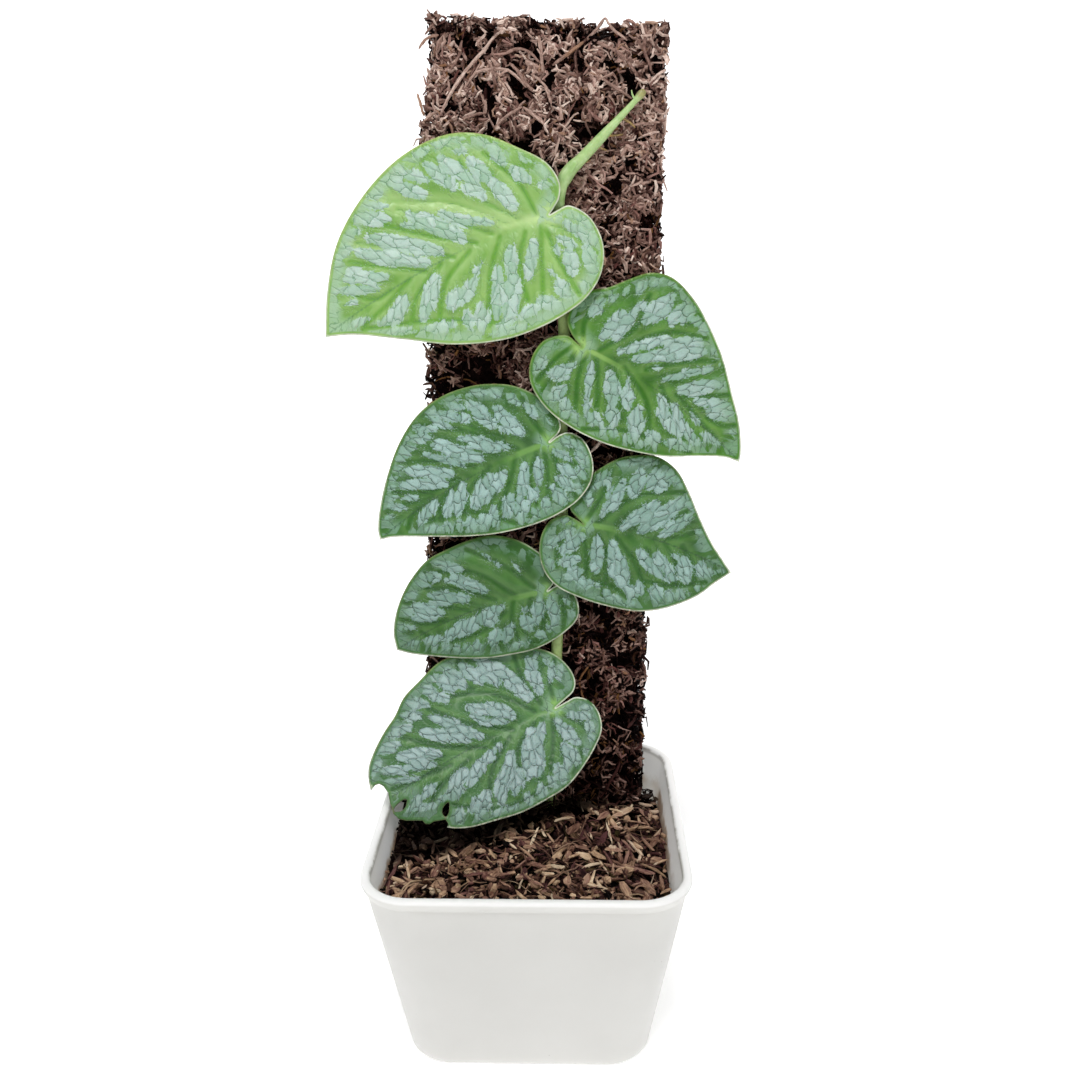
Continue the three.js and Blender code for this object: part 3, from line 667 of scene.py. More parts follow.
def scatter_chips(material):
    local = np.random.default_rng(21)
    heap = Heap("tone", "grain")

    def drop(x, y, sizes, turns, lift, tone):
        points, faces = chip_shape(*sizes, local)
        grain = points + local.uniform(0, 400, 3)
        points = points @ turn_matrix(*turns).T + (x, y, soil_height(x, y) + lift)
        heap.add(points, faces, tone=np.clip(tone, 0, 1), grain=grain)

    for count, lengths, widths, thicks, (tone, spread), rise, margin in CHIP_KINDS.values():
        for x, y in zip(*scatter(local, count, margin)):
            sizes = [local.uniform(*limits) for limits in (lengths, widths, thicks)]
            level = local.uniform(-1, 1)
            # Lower chips are painted darker and higher ones paler: painted shade in the gaps between them
            shade = local.normal(tone - 0.05, spread) + SHADE_BY_DEPTH * level
            turns = (local.uniform(0, 2 * math.pi), *local.normal(0, 0.48, 2))
            drop(x, y, sizes, turns, level * rise - 0.1, shade)
    for x0, y0, x1, y1, width, tone in PLACED_CHIPS:
        sizes = (math.hypot(x1 - x0, y1 - y0) * 1.1, width * 1.15, PLACED_THICK)
        turns = (math.atan2(y1 - y0, x1 - x0), *local.normal(0, 0.12, 2))
        drop((x0 + x1) / 2, (y0 + y1) / 2, sizes, turns, PLACED_LIFT, tone)
    heap.build("bark_chips", material, "bark_mix", smooth=False)


def scatter_husk(material):
    """Loose husk fibres that lie on the mix in slight arcs."""
    local = np.random.default_rng(22)
    x, y = scatter(local, HUSK_FIBRES, 1.4)
    count = len(x)
    length = local.uniform(4, 14, count)[:, None]
    heading = local.uniform(0, 2 * math.pi, count)
    t = np.linspace(-0.5, 0.5, 6)
    arc = 0.25 - t**2
    ahead = np.stack([np.cos(heading), np.sin(heading)], 1)
    aside = np.stack([-ahead[:, 1], ahead[:, 0]], 1)
    bow = local.normal(0, 0.16, count)[:, None] * length
    flat = np.stack([x, y], 1)[:, None] + (t * length)[..., None] * ahead[:, None]
    flat = flat + (arc * bow * 2)[..., None] * aside[:, None]
    keep = on_ground(flat[..., 0], flat[..., 1], 0.6).all(1)
    flat, length = flat[keep], length[keep]
    count = len(flat)
    rise = local.uniform(0.1, 1.2, count)[:, None]
    rise = rise + local.uniform(-0.12, 0.2, count)[:, None] * length * arc * 4
    z = soil_height(flat[..., 0], flat[..., 1]) + rise
    radii = local.uniform(0.12, 0.34, count)[:, None] * (1.05 - 1.6 * t**2)
    heap = Heap("tone", "grain")
    tones = np.clip(local.normal(0.4, 0.24, count), 0, 1)
    heap.add_tubes(np.concatenate([flat, z[..., None]], 2), radii, 4, tones, local)
    heap.build("husk_fibres", material, "bark_mix")


def chip_material():
    """Bark from near black to straw, streaked along each chip, with painted shadow towards the back, under
    the oldest leaf and round the board's foot.
    """
    s = Shader("bark", 0.6)
    own = s.attribute("grain", "Vector")
    streaks = s.noise(0.9, 5.0, 0.65, at=s.vector("MULTIPLY", own, (0.35, 1.6, 1.6)))
    tone = s.plus(s.attribute("tone"), s.minus(streaks, 0.5))
    base = s.ramp(tone, (0.08, (5, 2, 2)), (0.25, (42, 21, 15)), (0.42, (106, 70, 53)),
                  (0.58, (158, 120, 96)), (0.76, (204, 168, 132)), (0.95, (234, 210, 178)))
    kind = s.noise(0.045, 2.0, at=own)
    base = s.blend(s.times(s.band(kind, 0.50, 0.62), 0.3), base, rgb(150, 98, 98))
    base = s.blend(s.times(s.band(kind, 0.42, 0.34), 0.25), base, rgb(120, 104, 62))
    # Painted shadow: towards the back, under the oldest leaf and round the board's foot, the mix is painted
    # near black and loses most of its sheen
    back = s.minus(s.coordinate("Y"), s.times(s.coordinate("X"), 0.5))
    painted_shadow = s.band(s.plus(back, s.times(s.noise(70.0, 2.0), 0.008)), 0.003, 0.010)
    s.set("Base Color", s.blend(s.times(painted_shadow, 0.93), base, rgb(8, 3, 3)))
    dull = s.band(painted_shadow, 0.0, 1.0, 1.0, 0.2)
    s.set("Specular IOR Level", s.times(s.band(tone, 0.15, 0.55, 0.06, 0.6), dull))
    s.set("Roughness", s.band(streaks, 0.3, 0.7, 0.36, 0.8))
    s.set("Normal", s.bump(streaks, 0.9, 0.0008))
    return s.material


# Fern board


def make_board():
    core = build("board_core", *board_core(), core_material(), "fern_fibre")
    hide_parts("fern_board")
    fibre = fibre_material()
    local = np.random.default_rng(31)
    tall = (MAT_FOOT, BOARD_TOP)
    levels = (MAT_FOOT, 96, 172, BOARD_TOP)
    for number, span in enumerate(zip(levels, levels[1:])):
        topmost = span[1] == BOARD_TOP
        heap = Heap("tone", "grain")
        lay_mat(heap, local, "front", FRONT_BITS[number], span, 5 if topmost else 4)
        lay_runners(heap, local, RUNNERS, span)
        if topmost:
            lay_rootlets(heap, local)
        heap.build("fibres_front_%d" % (number + 1), fibre, "fern_fibre", smooth=False)
    back = Heap("tone", "grain")
    lay_mat(back, local, "back", BACK_BITS, tall)
    back.build("fibres_back", fibre, "fern_fibre", smooth=False)
    rim = Heap("tone", "grain")
    lay_mat(rim, local, "left", SIDE_BITS, tall)
    lay_mat(rim, local, "right", SIDE_BITS, tall)
    lay_mat(rim, local, "top", TOP_BITS, (BOARD_LEFT, BOARD_RIGHT))
    rim.build("fibres_edges", fibre, "fern_fibre", smooth=False)


def top_edge(u):
    """How far the board's sawn top stands above its mean height, higher at the left."""
    return mix(2.4, 0.3, (u - BOARD_LEFT) / (BOARD_RIGHT - BOARD_LEFT))


def board_core():
    """The dark inside of the board, under its rootlets, with its own lumps."""
    wide, deep, tall = 40, 6, 110
    left, right = BOARD_LEFT + 2.8, BOARD_RIGHT - 2.8
    front, back = 5.0, BOARD_THICK - 3.0
    us = np.linspace(left, right, wide + 1)
    ys = np.linspace(front, back, deep + 1)
    loop = [(u, front) for u in us[:-1]] + [(right, y) for y in ys[:-1]]
    loop += [(u, back) for u in us[:0:-1]] + [(left, y) for y in ys[:0:-1]]
    loop = np.array(loop)
    outward = np.stack([(loop[:, 0] == right) * 1.0 - (loop[:, 0] == left),
                        (loop[:, 1] == back) * 1.0 - (loop[:, 1] == front)], 1)
    rings = []
    for h in np.linspace(BOARD_BOTTOM, BOARD_TOP - 1.6, tall):
        level = np.full(len(loop), h)
        lumps = 1.3 * clouds(loop[:, 0] + 3 * loop[:, 1], level, 3.0, 5) * (h > -12)
        at = loop + outward * lumps[:, None]
        rings.append(on_board(at[:, 0], level, -at[:, 1]))
    return np.concatenate(rings), tube_faces(tall, len(loop))


# Each side of the board: its axes across and along, the way out, and where its surface lies
SIDES = {
    "front": ((1, 0, 0), (0, 0, 1), (0, -1, 0), (0, 0, 0)),
    "back": ((1, 0, 0), (0, 0, 1), (0, 1, 0), (0, BOARD_THICK, 0)),
    "left": ((0, 1, 0), (0, 0, 1), (-1, 0, 0), (BOARD_LEFT, 0, 0)),
    "right": ((0, 1, 0), (0, 0, 1), (1, 0, 0), (BOARD_RIGHT, 0, 0)),
    "top": ((0, 1, 0), (1, 0, 0), (0, 0, 1), (0, 0, BOARD_TOP)),
}


def under_leaves(u, h, depth=7.0):
    """Which places on the board's front lie well under a leaf, where few rootlets are needed."""
    points = np.stack([u, h], 1)
    hidden = np.zeros(len(u), bool)
    for leaf in LEAVES:
        loop = spline(leaf["upper"] + leaf["lower"][:-1], step=3.0)
        under = np.flatnonzero(inside_loop(points, loop))
        hidden[under[distance_to(points[under], loop) > depth]] = True
    return hidden


def side_edge(h):
    """How far the board's worn left edge stands in near its top, or out below that."""
    return 1.5 * smoothstep(h, 226, 243) - 2.4 * np.exp(-(((h - 208) / 13) ** 2))


def mat_places(local, side, count, span):
    """Where one side's rootlets lie, across and along it, and how deep the pits are there."""
    broad = (BOARD_LEFT, BOARD_RIGHT) if side in ("front", "back") else (0.0, BOARD_THICK)
    a = local.uniform(broad[0] + 0.4, broad[1] - 0.4, count * 3)
    b = local.uniform(span[0] + 0.2, span[1] - 0.4, count * 3)
    pits = smoothstep(clouds(a, b, 3.7, 8) * 0.7 + clouds(a, b, 1.7, 9) * 0.3, 0.56, 0.38)
    pits = pits * (0.5 if side == "back" else 1.0)
    stays = local.random(count * 3) > 0.68 * pits
    if side == "front":
        stays &= ~under_leaves(a, b) | (local.random(count * 3) > 0.65)
    stays = np.flatnonzero(stays)[:count]
    return a[stays], b[stays], pits[stays]


def lay_mat(heap, local, side, count, span, steps=4):
    """Short curled rootlets, at every angle, round the pits in one side's outer layers."""
    across, along, out, origin = (np.array(axis, float) for axis in SIDES[side])
    a, b, pits = mat_places(local, side, count, span)
    height = np.full(count, BOARD_TOP) if side == "top" else b
    if side == "top":
        origin = origin + top_edge(b)[:, None] * out
    else:
        wide = a if side in ("front", "back") else origin[0]
        b = b + top_edge(wide) * smoothstep(b, BOARD_TOP - 30, BOARD_TOP)
    length = local.gamma(4.0, 0.75, count) + 1.3
    radius = local.uniform(0.26, 0.6, count) * (1 + 0.35 * (local.random(count) < 0.2))
    if side == "back":
        length, radius = length * 1.2, radius * 1.25
    heading = local.uniform(0, 2 * math.pi, count)[:, None]
    pitch = local.normal(0, 0.45, count)[:, None]
    if side == "front":
        a = a + side_edge(b) * smoothstep(a, BOARD_LEFT + 12, BOARD_LEFT + 1)
    if side == "left":
        origin = origin - side_edge(b)[:, None] * out
    level = -0.2 - PIT_DEPTH * pits - np.abs(local.normal(0, 0.75, count))
    start = origin + a[:, None] * across + b[:, None] * along + level[:, None] * out
    flat = np.cos(heading) * across + np.sin(heading) * along
    turned = np.cos(heading) * along - np.sin(heading) * across
    ahead = flat * np.cos(pitch) + out * np.sin(pitch)
    paths = keep_in_board(curl(local, start, ahead, turned, length, steps), local, side)
    taper = np.where(np.abs(np.linspace(-0.5, 0.5, steps)) > 0.4, 0.55, 1.0)
    radii = radius[:, None, None] * local.uniform(0.55, 1.3, (count, steps, 4)) * taper[:, None]
    # Rootlets that lie deeper are painted darker, as painted shade in the pits, and depth_shade paints more
    # shade down the board
    lift = np.clip(1.0 + (level + 0.2) / 1.8, 0, 1)
    tones = local.normal(0.08, 0.18, count) + 0.6 * lift - depth_shade(height)
    heap.add_tubes(paths @ AXES.T + BOARD_AT, radii, 4, np.clip(tones, 0, 1), local)


def curl(local, start, ahead, turned, length, steps):
    """Routes along ahead, about their starts, bowed and waved towards turned and shaken a little."""
    t = np.linspace(-0.5, 0.5, steps)
    bow = local.normal(0, 0.24, len(length)) * length
    wave = local.normal(0, 0.09, len(length)) * length
    sway = (1 - 4 * t**2) * bow[:, None] + np.sin(2 * math.pi * t) * wave[:, None]
    paths = start[:, None] + (t * length[:, None])[..., None] * ahead[:, None]
    return paths + sway[..., None] * turned[:, None] + local.normal(0, 0.16, paths.shape)


def depth_shade(height):
    """The board's painted shade: darker a little below its top and more towards its foot, under the leaves
    and away from the light above.
    """
    return 0.16 * smoothstep(height, 215, 180) + 0.17 * smoothstep(height, 100, 20)


def lay_runners(heap, local, count, span):
    """Longer rootlets that cross the front in slow curves."""
    steps = 9
    t = np.linspace(-0.5, 0.5, steps)
    a = local.uniform(BOARD_LEFT + 3, BOARD_RIGHT - 3, count)[:, None]
    b = local.uniform(span[0] + 4, span[1] - 4, count)[:, None]
    step = local.uniform(8, 22, count)[:, None] / (steps - 1)
    heading = local.normal(math.pi / 2, 0.85, count)[:, None]
    angle = heading + local.normal(0, 0.6, count)[:, None] * t * 2
    angle = angle + 0.16 * np.sin(t * 14 + local.uniform(0, 6, count)[:, None])
    across, up = np.cos(angle) * step, np.sin(angle) * step
    u = a + np.cumsum(across, 1) - across.sum(1, keepdims=True) / 2
    h = b + np.cumsum(up, 1) - up.sum(1, keepdims=True) / 2
    out = local.uniform(-0.9, 0.2, count)[:, None] + 0.35 * np.sin(t * 7 + u * 0.3) - 3 * np.abs(t) ** 3
    paths = keep_in_board(np.stack([u, -out, h], -1), local, "front")
    radii = local.uniform(0.3, 0.52, count)[:, None] * (1 - 0.5 * np.abs(t) ** 1.5)
    radii = radii[..., None] * local.uniform(0.8, 1.2, (count, steps, 5))
    tones = np.clip(local.normal(0.42, 0.16, count) - depth_shade(b[:, 0]), 0, 1)
    heap.add_tubes(paths @ AXES.T + BOARD_AT, radii, 5, tones, local)


# The longest rootlets near the board's top: their radius, and where they run across and up the face
ROOTLETS = [
    (0.62, [(-34.5, 220), (-30.5, 227.5), (-23, 237), (-20, 240), (-17.5, 243.5), (-14, 246)]),
    (0.42, [(-27, 228), (-23.5, 232.5), (-21, 237)]),
    (0.52, [(-18.5, 238.5), (-14, 238.5), (-10.5, 240), (-7, 239.5), (-4, 237), (-2.5, 236)]),
    (0.7, [(-12.5, 236), (-9.5, 233), (-7.5, 230), (-4.5, 227.5)]),
    (0.7, [(-3.5, 244), (-2.5, 238), (-2, 232.5)]),
    (0.48, [(-6, 233), (-2, 230), (0.5, 226.5)]),
    (0.55, [(-27.5, 242.5), (-28.5, 237.5), (-31.5, 233)]),
    (0.55, [(-41, 240), (-38, 243), (-35, 244)]),
    (0.5, [(-41.5, 226.5), (-40.5, 223.5), (-39.5, 220)]),
    (0.5, [(-40.5, 217), (-37.5, 220), (-35, 221.5)]),
    (0.5, [(-27, 219), (-23, 220.5), (-20, 221)]),
    (0.55, [(-17, 216.5), (-14, 219.5), (-11, 221.5), (-8.5, 223)]),
    (0.72, [(-8, 223), (-4, 220), (0.5, 216.5)]),
    (0.55, [(-19.5, 237), (-18, 234.5), (-16.5, 231.5)]),
    (0.62, [(1, 235.5), (4, 237.5), (7.5, 240), (10.5, 242.5)]),
    (0.6, [(11.5, 243), (14.5, 246), (17, 249.5)]),
    (0.5, [(17, 249.5), (19.5, 246), (24, 243)]),
    (0.68, [(13.5, 243), (18, 241), (23, 238), (27.5, 233)]),
    (0.65, [(29, 247.5), (29.5, 243), (29.5, 239.5), (31, 236.5), (32, 232)]),
    (0.5, [(31, 230), (33.5, 232.5), (36.5, 234.5)]),
    (0.55, [(13, 233), (16, 232), (19, 230), (26, 226)]),
    (0.6, [(12.5, 222.5), (15, 220), (18, 218.5)]),
    (0.55, [(-1.5, 229.5), (0, 226), (1.5, 222)]),
]


def lay_rootlets(heap, local):
    steps = 12
    t = np.linspace(-1, 1, steps)
    paths, radii = [], []
    for radius, points in ROOTLETS:
        route = spline(points, count=steps)
        out = 0.35 - 0.9 * t**4 + local.uniform(-0.2, 0.2)
        paths.append(np.column_stack([route[:, 0], -out, route[:, 1]]))
        radii.append(radius * (0.85 - 0.35 * t[:, None] ** 4) * local.uniform(0.7, 1.25, (steps, 6)))
    tones = np.clip(local.normal(0.54, 0.08, len(ROOTLETS)), 0, 1)
    heap.add_tubes(np.array(paths) @ AXES.T + BOARD_AT, np.array(radii), 6, tones, local)


def keep_in_board(paths, local, side):
    """Bends what would stand too far out back to the board, with ragged limits at its edges."""
    count = len(paths)
    ragged = local.gamma(1.4, 0.55, (count, 1)).clip(0, 3.2) if side != "back" else 0.6
    proud = local.uniform(0.2, 1.3, (count, 1))
    u, back, h = paths[..., 0], paths[..., 1], paths[..., 2]
    near_vine = np.exp(-(((u - 6) / 5.5) ** 4)) * (h < 210)
    u = np.clip(u, BOARD_LEFT + np.minimum(side_edge(h), 0.0) - ragged, BOARD_RIGHT + ragged)
    back = np.clip(back, -mix(proud, 0.05, near_vine), BOARD_THICK + 0.5)
    h = np.clip(h, -15.0, BOARD_TOP + top_edge(u) + np.minimum(ragged, 1.2))
    return np.stack([u, back, h], -1)


# The board's core is painted near black: painted shade in the gaps and pits between its rootlets
def core_material():
    s = Shader("fern_core", 0.95, Specular_IOR_Level=0.1)
    s.set("Base Color", s.ramp(s.noise(700.0, 4.0), (0.35, (8, 3, 3)), (0.7, (30, 15, 13))))
    s.set("Normal", s.bump(s.noise(900.0, 4.0), 0.8, 0.001))
    return s.material


def fibre_material():
    """Rootlets from near black to pale straw, streaked along their length, some rusty and some red."""
    s = Shader("fern_rootlets", 0.55)
    own = s.attribute("grain", "Vector")
    streaks = s.noise(0.9, 4.0, 0.6, at=own)
    tone = s.plus(s.attribute("tone"), s.times(s.minus(streaks, 0.5), 0.65))
    base = s.ramp(tone, (0.04, (8, 2, 2)), (0.2, (44, 22, 18)), (0.42, (118, 85, 74)),
                  (0.62, (170, 138, 124)), (0.88, (232, 208, 194)))
    patch = s.noise(0.02, 1.0, at=own)
    base = s.blend(s.times(s.band(patch, 0.62, 0.7), 0.45), base, rgb(158, 112, 68))
    base = s.blend(s.times(s.band(patch, 0.4, 0.32), 0.35), base, rgb(150, 96, 90))
    s.set("Base Color", base)
    s.set("Specular IOR Level", s.band(tone, 0.15, 0.5, 0.04, 0.55))
    s.set("Roughness", s.band(streaks, 0.3, 0.7, 0.38, 0.75))
    s.set("Normal", s.bump(streaks, 0.6, 0.0004))
    return s.material


# Vine


# The stem from below to its tip: across the board, up it, out from it, and its radius
VINE = [
    (4.5, -20, 2.4, 1.8), (5, -4, 2.4, 1.9), (5.5, 18, 2.4, 1.9), (6, 45, 2.4, 1.9),
    (6.3, 72, 2.4, 1.9), (7, 92, 2.4, 1.9), (6.2, 112, 2.4, 1.9), (6.3, 138, 2.4, 1.9),
    (6.2, 157, 2.4, 1.9), (4.8, 176, 2.5, 1.85), (3.4, 190, 2.6, 1.75), (4.4, 198.5, 2.9, 1.85),
    (7, 203.4, 3.1, 2.15), (10.6, 207, 3.2, 1.8), (16.3, 213, 3.2, 1.6), (22.8, 220, 2.8, 1.1),
    (27.4, 225, 2.6, 0.95), (28.8, 226.6, 2.6, 1.3), (29.8, 227.6, 2.6, 0.8),
]

# How far up the board the nodes of the stem stand, and the node where its young shoot starts
NODES = [20, 58, 84, 108, 140, 182]
YOUNG_NODE = 201


def vine_point(height):
    """How far across the board and out from it the stem lies at a height."""
    table = np.array(VINE)
    return [np.interp(height, table[:, 1], table[:, k]) for k in (0, 2)]


def make_vine():
    heap = Heap("young", "root")
    route = spline(VINE, step=1.2)
    height = route[:, 1]
    bumps = sum(0.3 * np.exp(-(((height - node) / 1.6) ** 2)) for node in NODES)
    bumps += 0.25 * np.exp(-(((height - YOUNG_NODE) / 1.4) ** 2))
    sides = 16
    young = smoothstep(height, 185, 205)
    tip = smoothstep(height, 224.5, 226.5)
    points = tube_points(on_board(*route[:, :3].T), route[:, 3] + bumps, sides)
    heap.add(points, tube_faces(len(route), sides), young=young.repeat(sides), root=tip.repeat(sides) * 0.7)
    local = np.random.default_rng(41)
    for node in NODES:
        for side in (-1, 1, -1):
            add_aerial_root(heap, local, node, side)
    for t in (0.25, 0.45, 0.62, 0.8):
        add_aerial_root(heap, local, mix(YOUNG_NODE, 224, t), 1, 0.6)
    spike = spline([(26.9, 224.8, 3.0), (26.0, 226.3, 3.3), (25.7, 227.5, 3.5)], count=8)
    heap.add(tube_points(on_board(*spike.T), np.linspace(0.45, 0.16, 8), 8), tube_faces(8, 8),
             young=1.0, root=0.0)
    add_sheath(heap)
    vine = heap.build("climbing_vine", vine_material(), "vine_skin")
    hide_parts("vine")


def add_aerial_root(heap, local, node, side, size=1.0):
    """A short root that leaves a node to one side and lays itself on the board."""
    u, out = vine_point(node)
    reach = side * local.uniform(4, 9.5) * size
    drop = local.uniform(-5, 3) * size
    start = node + local.uniform(-1.2, 1.2)
    points = [(u, start, out - 0.2), (u + reach * 0.4, start + drop * 0.25, 1.7),
              (u + reach * 0.75, start + drop * 0.6, 0.9), (u + reach, start + drop, 0.25)]
    path = spline(points, count=12)
    radii = np.linspace(0.6, 0.3, 12) * size**0.5
    heap.add(tube_points(on_board(*path.T), radii, 7), tube_faces(12, 7), young=0.3, root=1.0)


def add_sheath(heap):
    """The split sheath that clasps the base of the young shoot."""
    rows, cols, thick = 26, 11, 0.28
    route = spline([(3.6, 192, 2.9), (4.0, 197, 3.2), (6.2, 202.2, 3.4), (9.4, 205.9, 3.4)], count=rows)
    ahead = np.gradient(route, axis=0)
    across = np.cross(ahead, (0, 0, 1.0))
    across /= np.linalg.norm(across, axis=1)[:, None]
    s = np.linspace(0, 1, rows)
    gape = mix(1.9, 0.5, s**1.5)[:, None]
    radius = (mix(1.9, 2.4, np.minimum(1, 1.4 * s)) * (1 - 0.08 * s))[:, None, None]
    angle = (mix(-gape, gape, np.linspace(0, 1, cols)) - 0.35)[..., None]
    rim = np.sin(angle) * across[:, None] + np.cos(angle) * np.array([0, 0, 1.0])
    u, h, out = (route[:, None] + radius * rim).reshape(-1, 3).T
    corner = np.arange(rows * cols).reshape(rows, cols)[:-1, :-1].ravel()
    faces = np.stack([corner, corner + cols, corner + cols + 1, corner + 1], 1)
    points = np.vstack([on_board(u, h, out - 0.4), on_board(u, h, out - 0.4 - thick)])
    heap.add(points, shell_faces(faces, rows * cols), young=1.0, root=0.0)


def vine_material():
    """Green stem, paler where young, with brown roots and tip."""
    s = Shader("vine_skin", 0.42, Specular_IOR_Level=0.5, Subsurface_Weight=0.08, Subsurface_Scale=0.002)
    streaks = s.noise(420.0, 3.0)
    old = s.ramp(streaks, (0.3, (128, 152, 84)), (0.7, (164, 186, 118)))
    new = s.ramp(streaks, (0.3, (148, 184, 108)), (0.7, (186, 212, 150)))
    brown = s.ramp(s.noise(500.0, 3.0), (0.3, (112, 76, 46)), (0.7, (176, 140, 86)))
    green = s.blend(s.attribute("young"), old, new)
    s.set("Base Color", s.blend(s.times(s.attribute("root"), 0.9), green, brown))
    s.set("Normal", s.bump(streaks, 0.25, 0.0003))
    return s.material


# Leaves


